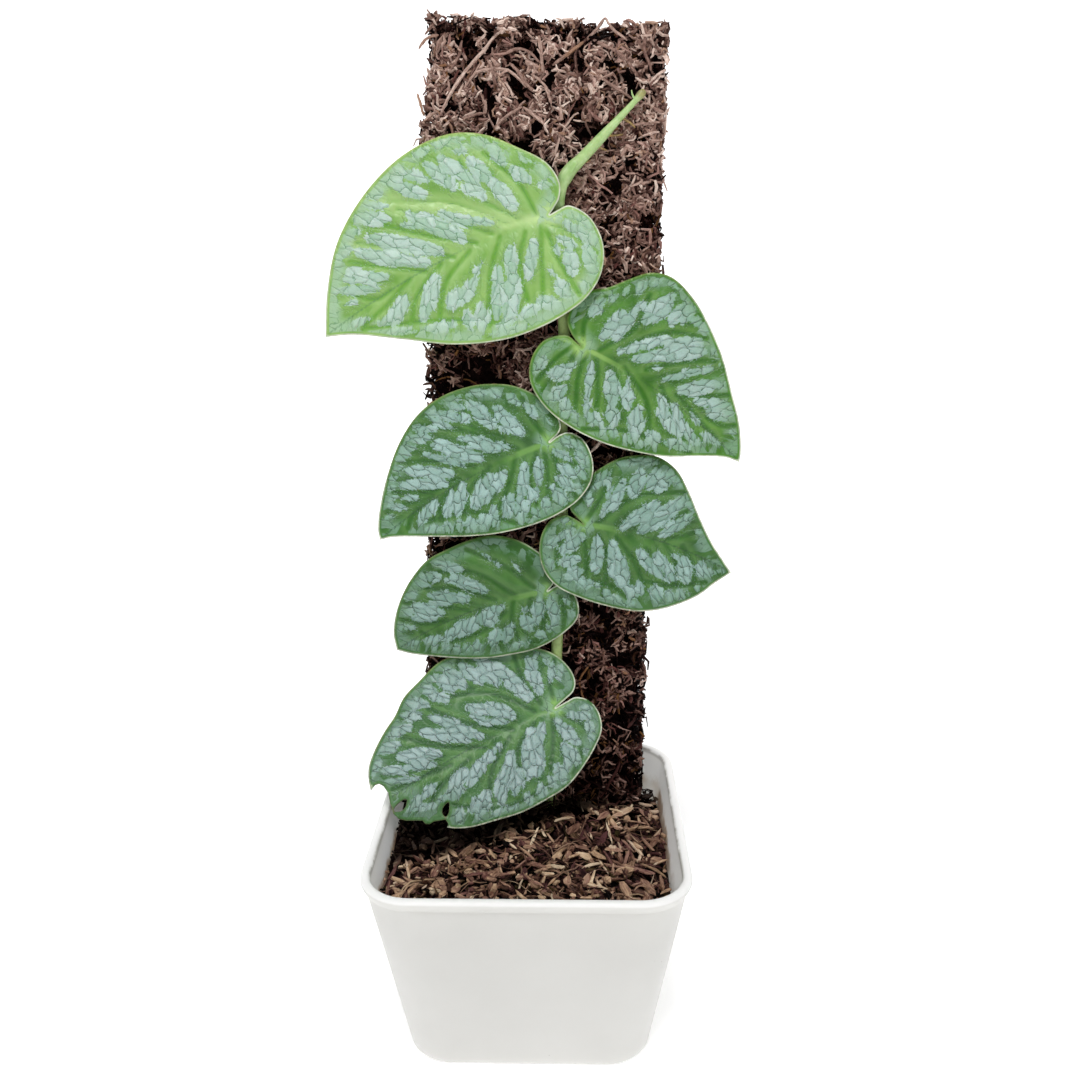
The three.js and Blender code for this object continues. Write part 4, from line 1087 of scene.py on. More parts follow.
# Each leaf in its own flat sheet, in millimetres, as in the part's source: x across the board, y up it.
# "upper" and "lower" are its margins, "veins" its side veins by three places each, "strokes" the silver
# panels by start, end and width, and "bands" its palest veins by start, end, width and strength.
# The sheet's top is at "top" up the board and "off" before it, and it leans out by "lean" degrees, or
# bends on to "bent" over "curl" millimetres. Its stalk leaves the stem at "foot".
LEAVES = [
    dict(
        name="leaf_1_newest", slot="leaf_young", top=214.5, off=5, lean=3.5, foot=180, sag=3.5, relief=1.0,
        shade=0.08,
        bands=[(1, 189, -6, 187.6, 3.4, 1.0), (-4, 188, -14, 185.5, 2.4, 0.75),
            (-10, 187, -34, 191.5, 5, 0.6), (-34, 191.5, -58, 193, 6, 0.45), (-8, 189, -20, 195, 3, 0.35),
            (-30, 187, -50, 190.5, 3, 0.3), (-44, 176.5, -62, 180, 4, 0.3), (0, 188, 8, 184.5, 2.5, 0.35)],
        upper=[(1, 189.5), (2.6, 192), (3.9, 194.5), (4, 199), (0, 205), (-10, 210), (-20, 213.5),
            (-31, 213.5), (-44.5, 207.5), (-57, 195.5), (-66, 180), (-69.3, 164.5), (-70, 150.5)],
        lower=[(-70, 150.5), (-61, 151.3), (-44, 150), (-29, 148.8), (-14.5, 150.2), (-4.5, 153.2),
            (6, 158.5), (13.5, 164.5), (17.8, 172), (18, 181), (13.5, 189), (7, 192.4), (3.6, 191),
            (1, 189.5)],
        veins=[(-3, 189.5, -9, 199, -20, 208), (-9, 188, -20, 194, -27.5, 205.5),
            (-12, 186.5, -30, 192.5, -50, 192.8), (-17, 183.6, -30, 187, -47, 190.5),
            (-22, 180.5, -38, 182.6, -51, 185.6), (-29, 176, -44, 178.2, -60, 180),
            (-38, 171.5, -50, 172.5, -62, 174), (-49, 165.5, -53, 162.8, -62, 163.8),
            (-1.5, 186, -1.2, 176, -0.5, 164), (-6.5, 184, -8.2, 174, -5.5, 163),
            (-14.5, 182.5, -17.5, 170, -17.3, 155), (-24, 178, -31.5, 168, -33.5, 156),
            (-33, 174, -41, 163, -42, 156), (-43, 169, -51, 160, -58, 154), (0, 186.8, 8, 184, 16, 178),
            (0, 185, 4, 176, 11, 165), (-58, 153.2, -35, 156.2, -10, 156)],
        strokes=[(-17.5, 209.5, -13.5, 205, 4), (-30, 212, -26, 212, 2.8), (-22, 212.3, -18.5, 210.5, 3),
            (-41.5, 206.8, -37.5, 209, 3.2), (-35.5, 210, -31.5, 210.8, 2.4), (-29.5, 208, -26, 208.6, 2.2),
            (-11, 203.2, -6, 199.8, 3.8), (-1.8, 198.3, 1.3, 198.5, 3), (-1.6, 203.8, -0.2, 201, 1.7),
            (-9, 206.6, -3.5, 204.6, 1.5), (-10.5, 191.5, -17, 199.5, 4.5), (-17.3, 199, -24, 205, 4.8),
            (-20, 194.5, -26, 202, 3.4), (-26, 197.2, -22.8, 195.6, 2.6), (-29.5, 197.5, -38, 204, 4.6),
            (-25.5, 200.5, -33.5, 206, 4.4), (-37.5, 199.5, -47.5, 201.8, 3.8), (-39, 194.8, -48, 198, 4.4),
            (-45.5, 198.3, -51.5, 199.5, 3.4), (-52, 195.5, -56, 194, 2.8), (-50.5, 191.3, -57, 191.2, 2.2),
            (-50.5, 187.2, -59.5, 187.8, 4.4), (-60, 183.5, -63, 182, 3.4), (-17.3, 186.6, -26, 187.6, 2.8),
            (-24, 186, -33, 189.3, 3.2), (-26.5, 182, -43, 188.6, 5.4), (-37, 185, -46, 185.6, 2.4),
            (-33.8, 177.7, -55.5, 181.4, 5), (-38, 173.6, -59, 176.8, 4.6), (-50.5, 169.6, -63, 168.6, 3.8),
            (-53, 166, -65.8, 164.6, 3.2), (-59, 172, -62.5, 171, 2), (-62.5, 178, -66, 176, 3.2),
            (-65.5, 173.7, -68.5, 172.6, 2), (-60, 161.8, -63.3, 160.6, 2), (-56, 156.4, -60.5, 154.6, 1.7),
            (-3.8, 180.5, -5, 170.5, 4), (-11, 179, -11, 170, 4.4), (-14.6, 172.5, -15.2, 157.5, 4.4),
            (-10, 169.5, -11.5, 157, 6.6), (-20.5, 174, -22, 170.5, 1.9), (-22.2, 169, -26.5, 162, 4),
            (-27.3, 165.3, -30, 160.5, 5), (-35, 169, -38.3, 157, 5), (-33.6, 169.8, -34, 168, 1.6),
            (-44.3, 163, -48.3, 156.5, 4.8), (-46, 156.6, -52.5, 155, 3), (4, 182.6, 9, 180, 2.8),
            (6, 187, 15.5, 181.5, 3.2), (3, 179.8, 4, 177.6, 1.9), (7.3, 178, 8.6, 172.3, 5),
            (13, 179.5, 15.3, 172.5, 4.8), (10, 189, 14, 186.2, 2.2), (4, 168.3, 7, 165, 4.8),
            (12.5, 168, 15, 165.3, 2.8), (-1.5, 163.2, 4, 161.6, 4), (-7.5, 158, -2.5, 160.6, 3.4),
            (-20, 160.6, -19.6, 154.3, 4.2), (-24.6, 158.6, -23.8, 154, 3.6), (-37, 153.5, -28.5, 155, 3.4),
            (-49.5, 152.4, -40.5, 152.6, 2), (-15, 155, -9.5, 157.3, 2.2), (-18, 151.9, -5, 155, 1.4),
            (1.5, 172, 3, 170.8, 1.6)],
    ),
    dict(
        name="leaf_2", slot="leaf_fresh", top=172.5, off=4.2, lean=3.5, foot=140, sag=3, shade=0.05,
        upper=[(12, 148.8), (9.6, 151.5), (8.1, 154), (7.2, 157), (8, 160.5), (10.5, 164), (15, 166.8),
            (20, 167.6), (26, 170), (33.5, 172.4), (40, 171.2), (47, 165), (52.5, 156.5), (57.2, 146.5),
            (60.7, 135), (63.4, 125.5), (64.4, 116.5), (64, 112.8)],
        lower=[(64, 112.8), (59.5, 114.2), (50.5, 114.4), (40, 114.1), (30, 115.5), (20, 118), (9, 123),
            (1, 129), (-3.8, 136), (-4.7, 141), (-3.5, 146.2), (0, 150.7), (4.4, 152.3), (7.6, 152.2),
            (9.8, 150.6), (12, 148.8)],
        veins=[(12.5, 149.6, 13, 157, 19.5, 164.6), (18, 148, 29, 155, 33.5, 165.5),
            (24, 148, 39, 153.8, 52, 152.2), (33, 142, 46, 144.8, 55, 145), (43, 134, 50, 133.6, 61, 134.4),
            (53, 127, 58, 124.4, 62, 124.6), (14, 147, 11.3, 140, 10.5, 128),
            (17, 145.6, 17.5, 138, 17.4, 126), (26, 142.4, 33.6, 131, 34.4, 120.6),
            (38, 136.4, 43, 126, 46, 119.6), (44, 133.2, 50.5, 126, 56, 120.6),
            (10, 149.4, 4, 145, -2, 138), (10.5, 147.6, 5, 136.6, 8, 125.6),
            (13, 122.6, 28, 122, 48, 115.4)],
        strokes=[(15, 159.5, 18.5, 163.5, 4.2), (20.3, 163.5, 23.4, 165.2, 2.5),
            (24.9, 165, 26.8, 168, 2.3), (29.8, 166.5, 32.3, 169.8, 3.2), (34.5, 168.8, 37.2, 170.4, 2),
            (39.5, 169.2, 43.8, 167.5, 1.5), (18.8, 152.2, 25, 159.5, 4.2), (23, 152.3, 28.6, 159.8, 4),
            (28.7, 160, 31.2, 163, 1.7), (32, 157, 37.4, 163.4, 4.6), (35.6, 157.8, 40.5, 165.4, 4.8),
            (41, 157.3, 45, 162.4, 4.8), (44.3, 157.4, 47.4, 161.6, 3.8), (47.5, 157.6, 51, 157, 4),
            (50, 155, 53, 153.6, 2.4), (24.5, 147.4, 39.6, 151.7, 2.8), (29.5, 145.2, 51.3, 147.9, 4.2),
            (39.8, 149.6, 49.4, 151, 4.2), (35.4, 142.8, 37.4, 142.9, 1.6), (38.8, 138.9, 54, 142.6, 2.7),
            (44.4, 135.4, 54.8, 137.7, 4.8), (56.4, 138, 57.6, 137, 2.8), (49.6, 132.2, 53.4, 131.6, 2.4),
            (55, 132, 60.8, 128.6, 3.8), (53, 129.2, 59, 126.6, 3.4), (54, 148.6, 55.6, 146.4, 1.9),
            (56.6, 144, 57.6, 142.4, 1.7), (60.8, 123, 62.3, 120.6, 1.5), (51.6, 121.5, 57, 118.6, 2.5),
            (47.4, 129, 50.6, 124.6, 1.5), (15.2, 143.4, 14.3, 134, 3), (14, 133.4, 14.1, 128, 2.6),
            (22, 139.6, 22.5, 131, 5.4), (27, 134.8, 27.4, 130.4, 4.6), (27.3, 139.2, 27.1, 136.5, 1.4),
            (22, 129.6, 23, 124.8, 5), (30.5, 128.6, 29.6, 121, 5.8), (37.4, 133.2, 40, 128, 2.6),
            (38, 128.4, 44, 122, 4.4), (42, 130.6, 46.6, 122.4, 2.8), (45.5, 123.6, 50.2, 118.6, 3.2),
            (0.4, 145, -2.8, 140.6, 2.5), (9.8, 143, 2, 139.6, 3.5), (3.2, 132.6, 7, 135.4, 4.4),
            (7.6, 131, 7.2, 127, 4.2), (4, 138, 8.2, 139.2, 1.2), (10, 128, 11, 125.6, 2.4),
            (14.6, 127, 18, 124.6, 4.4), (19, 122.6, 20.2, 121.2, 1.9), (21.9, 122, 24, 120.4, 3),
            (26, 120.6, 29, 118.6, 2.2), (35, 121.4, 36.6, 118.4, 4.8), (40, 118.6, 47, 117.2, 3.3),
            (31.6, 118.6, 33.2, 117.6, 1.8)],
    ),
    dict(
        name="leaf_3", slot="leaf_green", top=136.8, off=4.6, lean=3.5, foot=108, sag=3,
        upper=[(2.3, 118), (5.2, 121), (5.9, 123), (4.5, 127), (1, 131), (-3, 133.5), (-9.7, 136),
            (-16, 136.5), (-23.5, 135.7), (-33.5, 132), (-41, 126), (-46.7, 117.3), (-50.4, 107.5),
            (-53.1, 96.5), (-54, 88.5), (-53.4, 84.6)],
        lower=[(-53.4, 84.6), (-49, 85.6), (-37.5, 86), (-24.5, 86.4), (-13.5, 87.7), (-2.3, 90.8),
            (6, 94.6), (12.6, 99.7), (16.3, 105.8), (16.6, 112.2), (13.3, 119), (8.5, 121.3), (5.2, 120.2),
            (2.3, 118)],
        veins=[(1.5, 119, -4, 126, -7, 132), (-8, 115.6, -26, 121.2, -45, 123),
            (-13, 119, -23.6, 123, -27, 130.6), (-22, 109.4, -34, 111, -47, 110.2),
            (-28, 105.2, -38, 100.6, -49, 100.6), (-38, 98.2, -44, 97, -51, 94),
            (0.6, 116, 1.8, 108, 2.2, 100), (-2, 114, -4, 106, -1.6, 97.6),
            (-8.6, 113.4, -10.6, 104, -14, 95.6), (-17, 109.6, -24, 101, -24.6, 93.6),
            (-27, 105, -33.4, 97, -33, 91.6), (-36, 99.4, -42.6, 93, -44, 88.6),
            (3, 116, 10.6, 111, 14.6, 108), (3, 115, 6.6, 107, 11.6, 100), (-38, 91, -22, 94.6, -8, 91)],
        strokes=[(-7, 121, -15.5, 128.6, 4.4), (-16.5, 123.6, -23.6, 129.8, 4.8),
            (-13.6, 122.2, -11.4, 121.2, 1.8), (-25, 125, -36, 126.6, 3.4), (-27, 128.4, -31, 129.5, 2.7),
            (-30, 122.2, -38, 125.4, 2), (-35.8, 121.2, -44, 121.6, 2.8), (-37, 118.6, -44, 118.2, 3.2),
            (-14.8, 115.4, -23, 118, 4.6), (-21, 118.6, -27.2, 118.5, 1.9), (-11, 115.9, -16, 117.2, 1.9),
            (-20.2, 112.4, -32, 114.8, 5.2), (-30, 116.2, -36.2, 116.4, 3), (-26, 109.8, -38.6, 113.4, 2.7),
            (-30, 107, -43.4, 107.8, 4.4), (-31.8, 104, -46, 102.9, 3.3), (-42, 115.2, -46.4, 114.6, 3),
            (-44, 112.5, -47.4, 111.6, 2), (-46.6, 108.6, -49, 107.6, 2.5),
            (-47.2, 105.8, -49.8, 104.6, 1.7), (-48.6, 102.5, -50.8, 101.2, 1.7),
            (-41.2, 98.8, -46, 98.6, 1.8), (-45, 95.6, -50, 96, 2.3), (-48, 99, -50, 97.6, 1.8),
            (-48.6, 93.2, -51.4, 91.6, 1.7), (-17, 134.2, -14, 132.9, 2.6), (-11.5, 133, -8.6, 131, 3.6),
            (-21.5, 133.8, -19, 133.7, 1.6), (-25, 132.8, -23, 133.7, 1.5),
            (-28.6, 131.5, -26.6, 132.6, 1.5), (-5.5, 130.2, -2.6, 126.6, 2.8), (1.6, 126, 3, 123.6, 1.5),
            (-0.8, 112, -1, 105, 3.6), (-5.3, 110, -7, 99.8, 3.8), (-1.6, 102.3, -3.6, 98.6, 3.8),
            (-12.4, 107.6, -17.4, 100.6, 4.2), (-17.4, 106, -21.6, 96.6, 5.2), (-16, 103, -20.4, 97.2, 4),
            (-26, 103, -27.5, 94, 3.6), (-29.5, 100.5, -31, 93.5, 3.2), (-35, 97.2, -40, 90.8, 3.8),
            (-10, 100, -11.5, 94, 4.8), (-7, 98.4, -6, 92.2, 4.4), (6.4, 119, 12.2, 116.6, 2.8),
            (4, 115.2, 9, 112.6, 2.8), (6, 110.4, 10.6, 107.4, 3.6), (11, 114.4, 14.4, 112, 3.2),
            (12.4, 109.6, 13.9, 106.6, 2.8), (5, 106, 10, 103.2, 3.6), (4.2, 102.8, 7.4, 98.6, 4.8),
            (12, 104, 12.6, 102, 1.8), (1.5, 99.5, 1.5, 95.6, 3.4), (-37.6, 88.4, -33.2, 89, 2.2),
            (-31, 90, -30.4, 87.9, 3), (-27, 91, -26.5, 88.2, 3.2), (-23.4, 92, -22.6, 88.8, 3.4),
            (-19.5, 93, -19, 89.6, 3.2), (-15.5, 96, -15.5, 90.8, 3.8), (-5, 92.4, -3.5, 91.8, 1.8),
            (-3, 96, -1, 94, 2.8)],
    ),
    dict(
        name="leaf_4", slot="leaf_green", top=114.3, off=4.2, lean=3.5, foot=84, sag=2.5, shade=0.12,
        upper=[(14, 91), (11.8, 93.2), (9.7, 95.6), (9.2, 98.5), (11, 102), (14.5, 106), (19.8, 110),
            (25.3, 113), (32, 114.2), (38, 113.7), (44, 109.7), (48, 103.4), (52, 94.6), (56.4, 86),
            (60.8, 79.5), (63.4, 75.9)],
        lower=[(63.4, 75.9), (58.3, 72.4), (52.7, 68), (46.6, 65), (40, 62.9), (33, 62.1), (25, 63.1),
            (14, 66.1), (5.6, 70), (1.3, 75), (-0.4, 81), (0.2, 87.2), (3.1, 92), (7.8, 93.9), (10.5, 93),
            (14, 91)],
        veins=[(15, 92.5, 19.5, 99.5, 23, 109.4), (18, 91, 31, 100.4, 48, 102.4),
            (33.6, 88.2, 42, 92.8, 50, 97), (42, 86.6, 48, 88, 54, 90.6), (14, 88.6, 15.2, 80, 15.4, 71.6),
            (19, 87.6, 22, 81, 21.8, 71), (25, 87, 30.4, 80, 34.4, 72), (35, 83.5, 40, 77.4, 42, 73),
            (41, 85.4, 44.8, 78, 45.2, 71.6), (47, 84.4, 51, 77, 51.4, 71.6),
            (12, 90.4, 6, 84.6, 5.6, 76.6), (34.6, 72.4, 43, 71, 55, 72.4), (14, 72.6, 24, 70.4, 30, 66)],
        strokes=[(18, 103.6, 21, 109, 3.5), (22.6, 109.4, 22, 104.2, 1.5), (24.6, 111.4, 31, 112.4, 2.6),
            (32, 112.6, 38, 112, 2.2), (23.6, 97, 26.8, 105.4, 3.5), (30, 101.6, 32.4, 108, 5.4),
            (35.4, 103.8, 37.6, 109, 4), (38.6, 103.6, 42.4, 108.4, 5), (45, 106.4, 45.6, 104.6, 2.8),
            (27.2, 90.4, 38, 98.2, 4.2), (33.2, 89.4, 46, 99.2, 5.4), (40.2, 88.4, 49.4, 94, 4.2),
            (51.5, 89.6, 52.6, 89.1, 1.7), (20, 93.8, 22, 99, 1.5), (21.6, 100, 23.4, 103.4, 1.5),
            (15.6, 101.4, 16, 97.6, 1.5), (48, 101, 49.5, 97.2, 1.9), (50, 97.5, 51, 95.3, 1.5),
            (5, 85.6, 10.6, 89, 2.7), (7.6, 82, 13.4, 87, 4.4), (6.6, 78, 12.4, 79.4, 3.4),
            (9.6, 73.6, 13.4, 75.4, 4.8), (7, 92.3, 9, 92.1, 1.5), (2.6, 84.4, 4.4, 84, 2.8),
            (2.6, 78.4, 4, 76.6, 3.4), (18.5, 86, 18.8, 75.4, 4.7), (23.8, 84, 26.4, 71.2, 5),
            (27.2, 80, 28.6, 71.4, 3.8), (28.4, 70, 32.2, 67.8, 4.6), (32.8, 82, 40, 74.6, 4),
            (38, 81.6, 43.4, 75, 3.8), (41.6, 73.6, 45, 73.6, 2.8), (43.6, 81.2, 46, 80.5, 1.3),
            (47.3, 79.6, 48.5, 73.2, 5), (53, 79, 53.6, 76.6, 3.4), (52.6, 75.2, 58, 75.8, 3),
            (59, 76.3, 60.3, 76.3, 1.1), (13.2, 70.6, 16.8, 71.4, 4), (18.6, 70.6, 20, 70.6, 1.6),
            (21.6, 68.6, 23.4, 67.2, 3.2), (24.6, 66.6, 26, 65.6, 2.4), (28, 65.1, 31, 64.6, 1.7),
            (32.6, 71.4, 33.6, 68.2, 3.2), (37.6, 70, 39.4, 66.8, 4.6), (43, 69, 43.6, 66.6, 2.7),
            (46.5, 69.3, 47, 66.8, 2.8), (49, 68.8, 50, 68, 1.9), (51.6, 70, 53, 70.5, 1.5)],
    ),
    dict(
        name="leaf_5", slot="leaf_green", top=86.5, off=4, lean=3.5, foot=58, sag=3, shade=0.24,
        upper=[(2.5, 67.8), (4.5, 70.6), (4.9, 73.6), (3, 77.8), (-0.7, 81), (-7.3, 84.7), (-15.7, 86.4),
            (-22.3, 85.2), (-32, 81), (-38, 77.5), (-43, 71.5), (-46.3, 65.5), (-48.6, 58.5), (-49.3, 52),
            (-48.2, 46.4)],
        lower=[(-48.2, 46.4), (-43, 45.3), (-35, 44.6), (-26, 44.2), (-17, 44.5), (-9.5, 45.8),
            (-2.2, 47.6), (3.8, 50.5), (9.3, 54.6), (12.7, 58.6), (13.2, 62.5), (11.8, 66.8), (9, 69.8),
            (6.8, 70.3), (4.8, 69.4), (2.5, 67.8)],
        veins=[(-2, 69, -12, 76, -25, 81.4), (-8, 66, -22, 73.6, -34, 73.6),
            (-15, 64.4, -27, 67.6, -38, 67.8), (-24, 60.5, -32, 61.6, -46, 63),
            (-31, 57, -38, 55.6, -47, 57), (2, 66.6, 2.2, 60, 1, 55), (-3, 65.4, -3.8, 60, -1.8, 54.6),
            (-9, 64, -9.2, 58, -7, 51), (-11.6, 60.4, -19.4, 53.4, -33, 49.6), (7, 66, 8.4, 60, 8, 55),
            (-40, 52.6, -36, 50.6, -34, 47.6)],
        strokes=[(-34.2, 76.3, -27, 74.8, 3.5), (-34.6, 71.8, -39.4, 71.9, 3.5),
            (-37, 69.1, -42.4, 69.5, 2.2), (-41.6, 66.7, -44.8, 64.6, 3), (-18.5, 67.6, -29, 71.5, 4.3),
            (-27, 70.2, -31.4, 70.8, 1.5), (-24.5, 64.6, -37, 65.8, 4), (-30, 63, -37, 63, 1.7),
            (-33, 59.8, -42.4, 61.2, 3.7), (-35.6, 58, -42.4, 57.6, 2.8), (-43, 60, -45.4, 59.1, 2.2),
            (-42, 54.5, -46, 54.1, 1.5), (-46, 55, -47.4, 53.2, 1.7), (-13, 62, -22, 56.6, 4.5),
            (-14.6, 57.5, -19, 56.1, 2.4), (-20, 57.4, -30, 52.4, 4.8), (-28.6, 51.8, -32.4, 50.3, 1.7),
            (-34, 51, -38.4, 49.7, 2), (-40, 49.5, -44.6, 48.4, 1.6), (-9.8, 55.5, -11.4, 50.6, 4),
            (-13.5, 54, -16, 49.6, 4), (-4.5, 62.6, -5, 60.6, 1.5), (-5.5, 58.5, -3, 55.1, 4.6),
            (0, 64.4, -0.8, 57.2, 4.2), (3.8, 65.2, 5.5, 57.2, 4.3), (8.5, 65.4, 10, 63.6, 1.9),
            (10.5, 61.5, 11, 59.6, 1.9), (2.6, 56, 4, 54.2, 2.7), (-1, 52.6, 2, 52.6, 2.8),
            (-35, 48.5, -36, 47.2, 1.8), (-32, 48.5, -31, 47.4, 2.4), (-28, 48.5, -27, 47.2, 2.4),
            (-25, 49, -24.5, 47.4, 2.4), (-21, 50, -21, 47.6, 3.4), (-8, 49.1, -5, 49.1, 2.2),
            (-3.5, 50.2, -2.5, 51.5, 1.3), (-21, 81, -13.6, 76, 0.9), (-9, 77.5, -7, 75, 0.7)],
    ),
    dict(
        name="leaf_6_oldest", slot="leaf_old", top=48, off=4.2, lean=4, bent=31, curl=18, foot=20, sag=2,
        relief=0.45, apex=(-51.5, -7),
        upper=[(6, 27.3), (9.9, 30.9), (11.9, 33), (12.6, 36), (11.2, 40), (7, 44.5), (1.5, 47.2),
            (-8, 48.2), (-18, 47.4), (-27, 45), (-34, 42), (-40.8, 35), (-45.4, 29.5), (-48, 23),
            (-51, 17.8), (-53.8, 11.5), (-55.3, 6), (-55.1, 2), (-54.1, -1.6)],
        bitten=[(-52.9, 0.1), (-51.6, 0.6), (-50, -0.2), (-48.3, -2.3), (-47.4, -5.5), (-46.1, -8.9),
            (-44.2, -10.5), (-41.8, -11), (-36.4, -10.8), (-35.4, -11.9), (-34, -11.9), (-32.6, -11),
            (-28.9, -10.3), (-27.9, -11.6)],
        lower=[(-28.2, -12.8), (-25, -13), (-20, -12.4), (-12, -10), (-4.2, -7.4), (4.8, -2.5), (10.5, 1.4),
            (15.8, 8), (19.8, 15), (21.7, 20.5), (20.6, 26.2), (17, 30.3), (12.8, 31.2), (9.9, 29.7),
            (6, 27.3)],
        holes=[(-43.8, -6.4, 2.6, 1.3, 45), (-28.9, -7.2, 2.2, 1.1, 80)], nicks=[(18.2, 30.6, 1.0)],
        veins=[(1, 28.6, -5, 36, -8.6, 45), (-1, 26, -16, 31.6, -33, 30), (-8, 19.6, -23, 21.2, -37, 26),
            (-17, 13.4, -30, 13.2, -45, 16), (-28, 7.4, -36, 3.8, -47, -1), (5, 25, 5.5, 17, 5, 6.6),
            (-1, 22, -6.2, 12, -3.6, 1), (-9, 17, -14.6, 5, -15, -3), (-22, 9.6, -31.2, 0, -34, -5.4),
            (8, 25.4, 15, 22, 18, 19.6), (-28, -5.6, -12, -6.4, 5, 1), (10, 20, 15.2, 13, 12.6, 5.6),
            (5.5, 29.4, 3.8, 36, 5.5, 44.6), (-22, 33, -27.4, 36, -27.6, 43)],
        strokes=[(-25.4, 34, -31, 39, 5.4), (-29, 33, -35, 37, 4.8), (-31, 29, -38, 31.4, 3.8),
            (-34, 32.6, -38.4, 33, 1.7), (-37.6, 27.5, -43.4, 27.6, 4.2), (-39.6, 23.6, -45, 23.2, 3.6),
            (-13.6, 35, -20, 41.4, 4.8), (-19, 36, -26.4, 41, 4.8), (-16, 41.5, -22, 43.4, 2.4),
            (-3, 30.8, -14.4, 40.8, 5.2), (-8, 36.2, -12, 40, 2.8), (0.5, 32.6, -4, 44, 4.2),
            (-1, 40, -1.5, 44.8, 2.4), (1.6, 44, 3.6, 42, 2), (4.5, 42.4, 4.5, 36.6, 2.8),
            (7.5, 42, 7, 37, 2), (-8.6, 24.5, -17, 27, 4.8), (-9.6, 22, -19, 22, 2.4),
            (-15, 25, -23, 26.5, 4.2), (-18, 23, -22, 24, 2.8), (-19.2, 17, -34, 22.4, 4.4),
            (-23, 16, -38, 18, 4.2), (-30, 21, -36, 23, 2.8), (-33, 10.5, -45, 9.6, 4.8),
            (-33.6, 7.5, -43, 6, 3), (-43, 5, -50, 4.6, 3.2), (-39, 2.5, -49, 1.4, 2.2),
            (-46.6, 13.4, -51.4, 10.6, 4), (-43, 19, -49.4, 16.6, 3.4), (-52, 8, -53.8, 2.8, 1.8),
            (-12.6, 14, -19, 6, 3), (-17, 9.4, -21.5, 1.6, 4), (-23.5, 5.4, -27.4, -1, 4.2),
            (-24, -1, -30, -4, 4.4), (-32.6, 1, -37, -3.4, 2.8), (-36, -3, -41.4, -5.5, 2.2),
            (-33, -6, -43, -7.6, 2.2), (-8, 11, -9.5, 0, 4.8), (-5.6, 6, -6.5, -1.4, 4.4),
            (-11.4, 4, -11, -4, 3.8), (1.5, 21.4, 0, 14, 3.8), (-2, 18.4, -2.4, 5, 5.8), (1, 14, 1, 5, 4.4),
            (6.6, 22.4, 13.4, 16, 4.4), (9, 14.4, 13.4, 9.6, 4.6), (10.6, 25, 17, 24.6, 3),
            (17, 22.6, 18.4, 20, 2.8), (18, 18.6, 18.4, 16.6, 2.6), (16.5, 14, 17, 12.2, 2),
            (7, 8, 9, 3.6, 4.4), (10, 9.6, 10.5, 7, 2.6), (4.6, 4, 6.5, 1.6, 2.8),
            (-2.5, -2, -1.5, -4, 2.4), (2, 1, 2.5, -2, 3.2), (-16, -2, -18, -8.4, 5),
            (-20, -4, -20.4, -8, 2.4), (-24.5, -7, -24.5, -9.8, 2.8), (-13, -8, -6, -5.2, 1.6),
            (14, 27.5, 18.5, 27.8, 1.8)],
    ),
]


def from_sheet(leaf, x, y, lift):
    """World points from a leaf's flat sheet, with lift millimetres out of it."""
    first = math.radians(leaf["lean"])
    last = math.radians(leaf.get("bent", leaf["lean"]))
    curl = leaf.get("curl", 0.0)
    down = leaf["top"] - y
    bend = (last - first) / curl if curl else 0.0
    along = np.clip(down, 0, curl)
    angle = first + bend * along
    fall = (down - along) * np.cos(angle)
    out = leaf["off"] + (down - along) * np.sin(angle)
    if bend:
        fall = fall + (np.sin(angle) - math.sin(first)) / bend
        out = out + (math.cos(first) - np.cos(angle)) / bend
    return on_board(x, leaf["top"] - fall + lift * np.sin(angle), out + lift * np.cos(angle))


def rib_axes(leaf):
    """The midrib's start, its length, and the ways along it and across it."""
    base = np.array(leaf["upper"][0], float)
    tip = np.array(leaf.get("apex", leaf["lower"][0]), float)
    length = np.linalg.norm(tip - base)
    along = (tip - base) / length
    up = -1 if along[0] < 0 else 1
    return base, length, along, np.array([-along[1] * up, along[0] * up])


def fan(s):
    """How far the side veins lean towards the tip, by where they leave the midrib."""
    return mix(-0.15, 0.85, np.clip((s + 0.35) / 1.35, 0, 1))


def rib_coordinates(leaf, xy):
    """How far along the midrib, from 0 to 1, and out from it each place lies, along the side veins."""
    base, length, along, across = rib_axes(leaf)
    a, c = (xy - base) @ along, (xy - base) @ across
    s = a / length
    for _ in range(12):
        t = c - 4 * leaf["sag"] * s * (1 - s)
        s = (a - np.abs(t) * fan(s)) / length
    return s, c - 4 * leaf["sag"] * s * (1 - s)


def margin_of(leaf):
    upper = spline(leaf["upper"], step=MARGIN_STEP)
    lower = spline(leaf["lower"], step=MARGIN_STEP)
    bitten = [np.array(leaf["bitten"], float)] if "bitten" in leaf else []
    start = 0 if bitten else 1
    return np.vstack([upper, *bitten, lower[start:-1]])


def hole_loop(x, y, long, short, turn):
    angle = np.linspace(0, 2 * math.pi, 22, endpoint=False)
    turn = math.radians(turn)
    ragged = 1 + 0.1 * np.sin(3 * angle + x)
    px, py = long * np.cos(angle) * ragged, short * np.sin(angle) * ragged
    return np.stack([x + px * math.cos(turn) - py * math.sin(turn),
                     y + px * math.sin(turn) + py * math.cos(turn)], 1)


def nearest_on(points, a, b):
    """How far along the line from a to b each point's nearest place lies, 0 to 1, and how far off it is."""
    a, b = np.asarray(a, float), np.asarray(b, float)
    ab = b - a
    along = np.clip(((points - a) @ ab) / max(ab @ ab, 1e-9), 0, 1)
    return along, np.linalg.norm(points - (a + along[:, None] * ab), axis=1)


def distance_to(points, chain, closed=True):
    """The least distance from each point to a chain of straight pieces."""
    best = np.full(len(points), 1e9)
    for a, b in zip(chain, np.roll(chain, -1, 0) if closed else chain[1:]):
        best = np.minimum(best, nearest_on(points, a, b)[1])
    return best


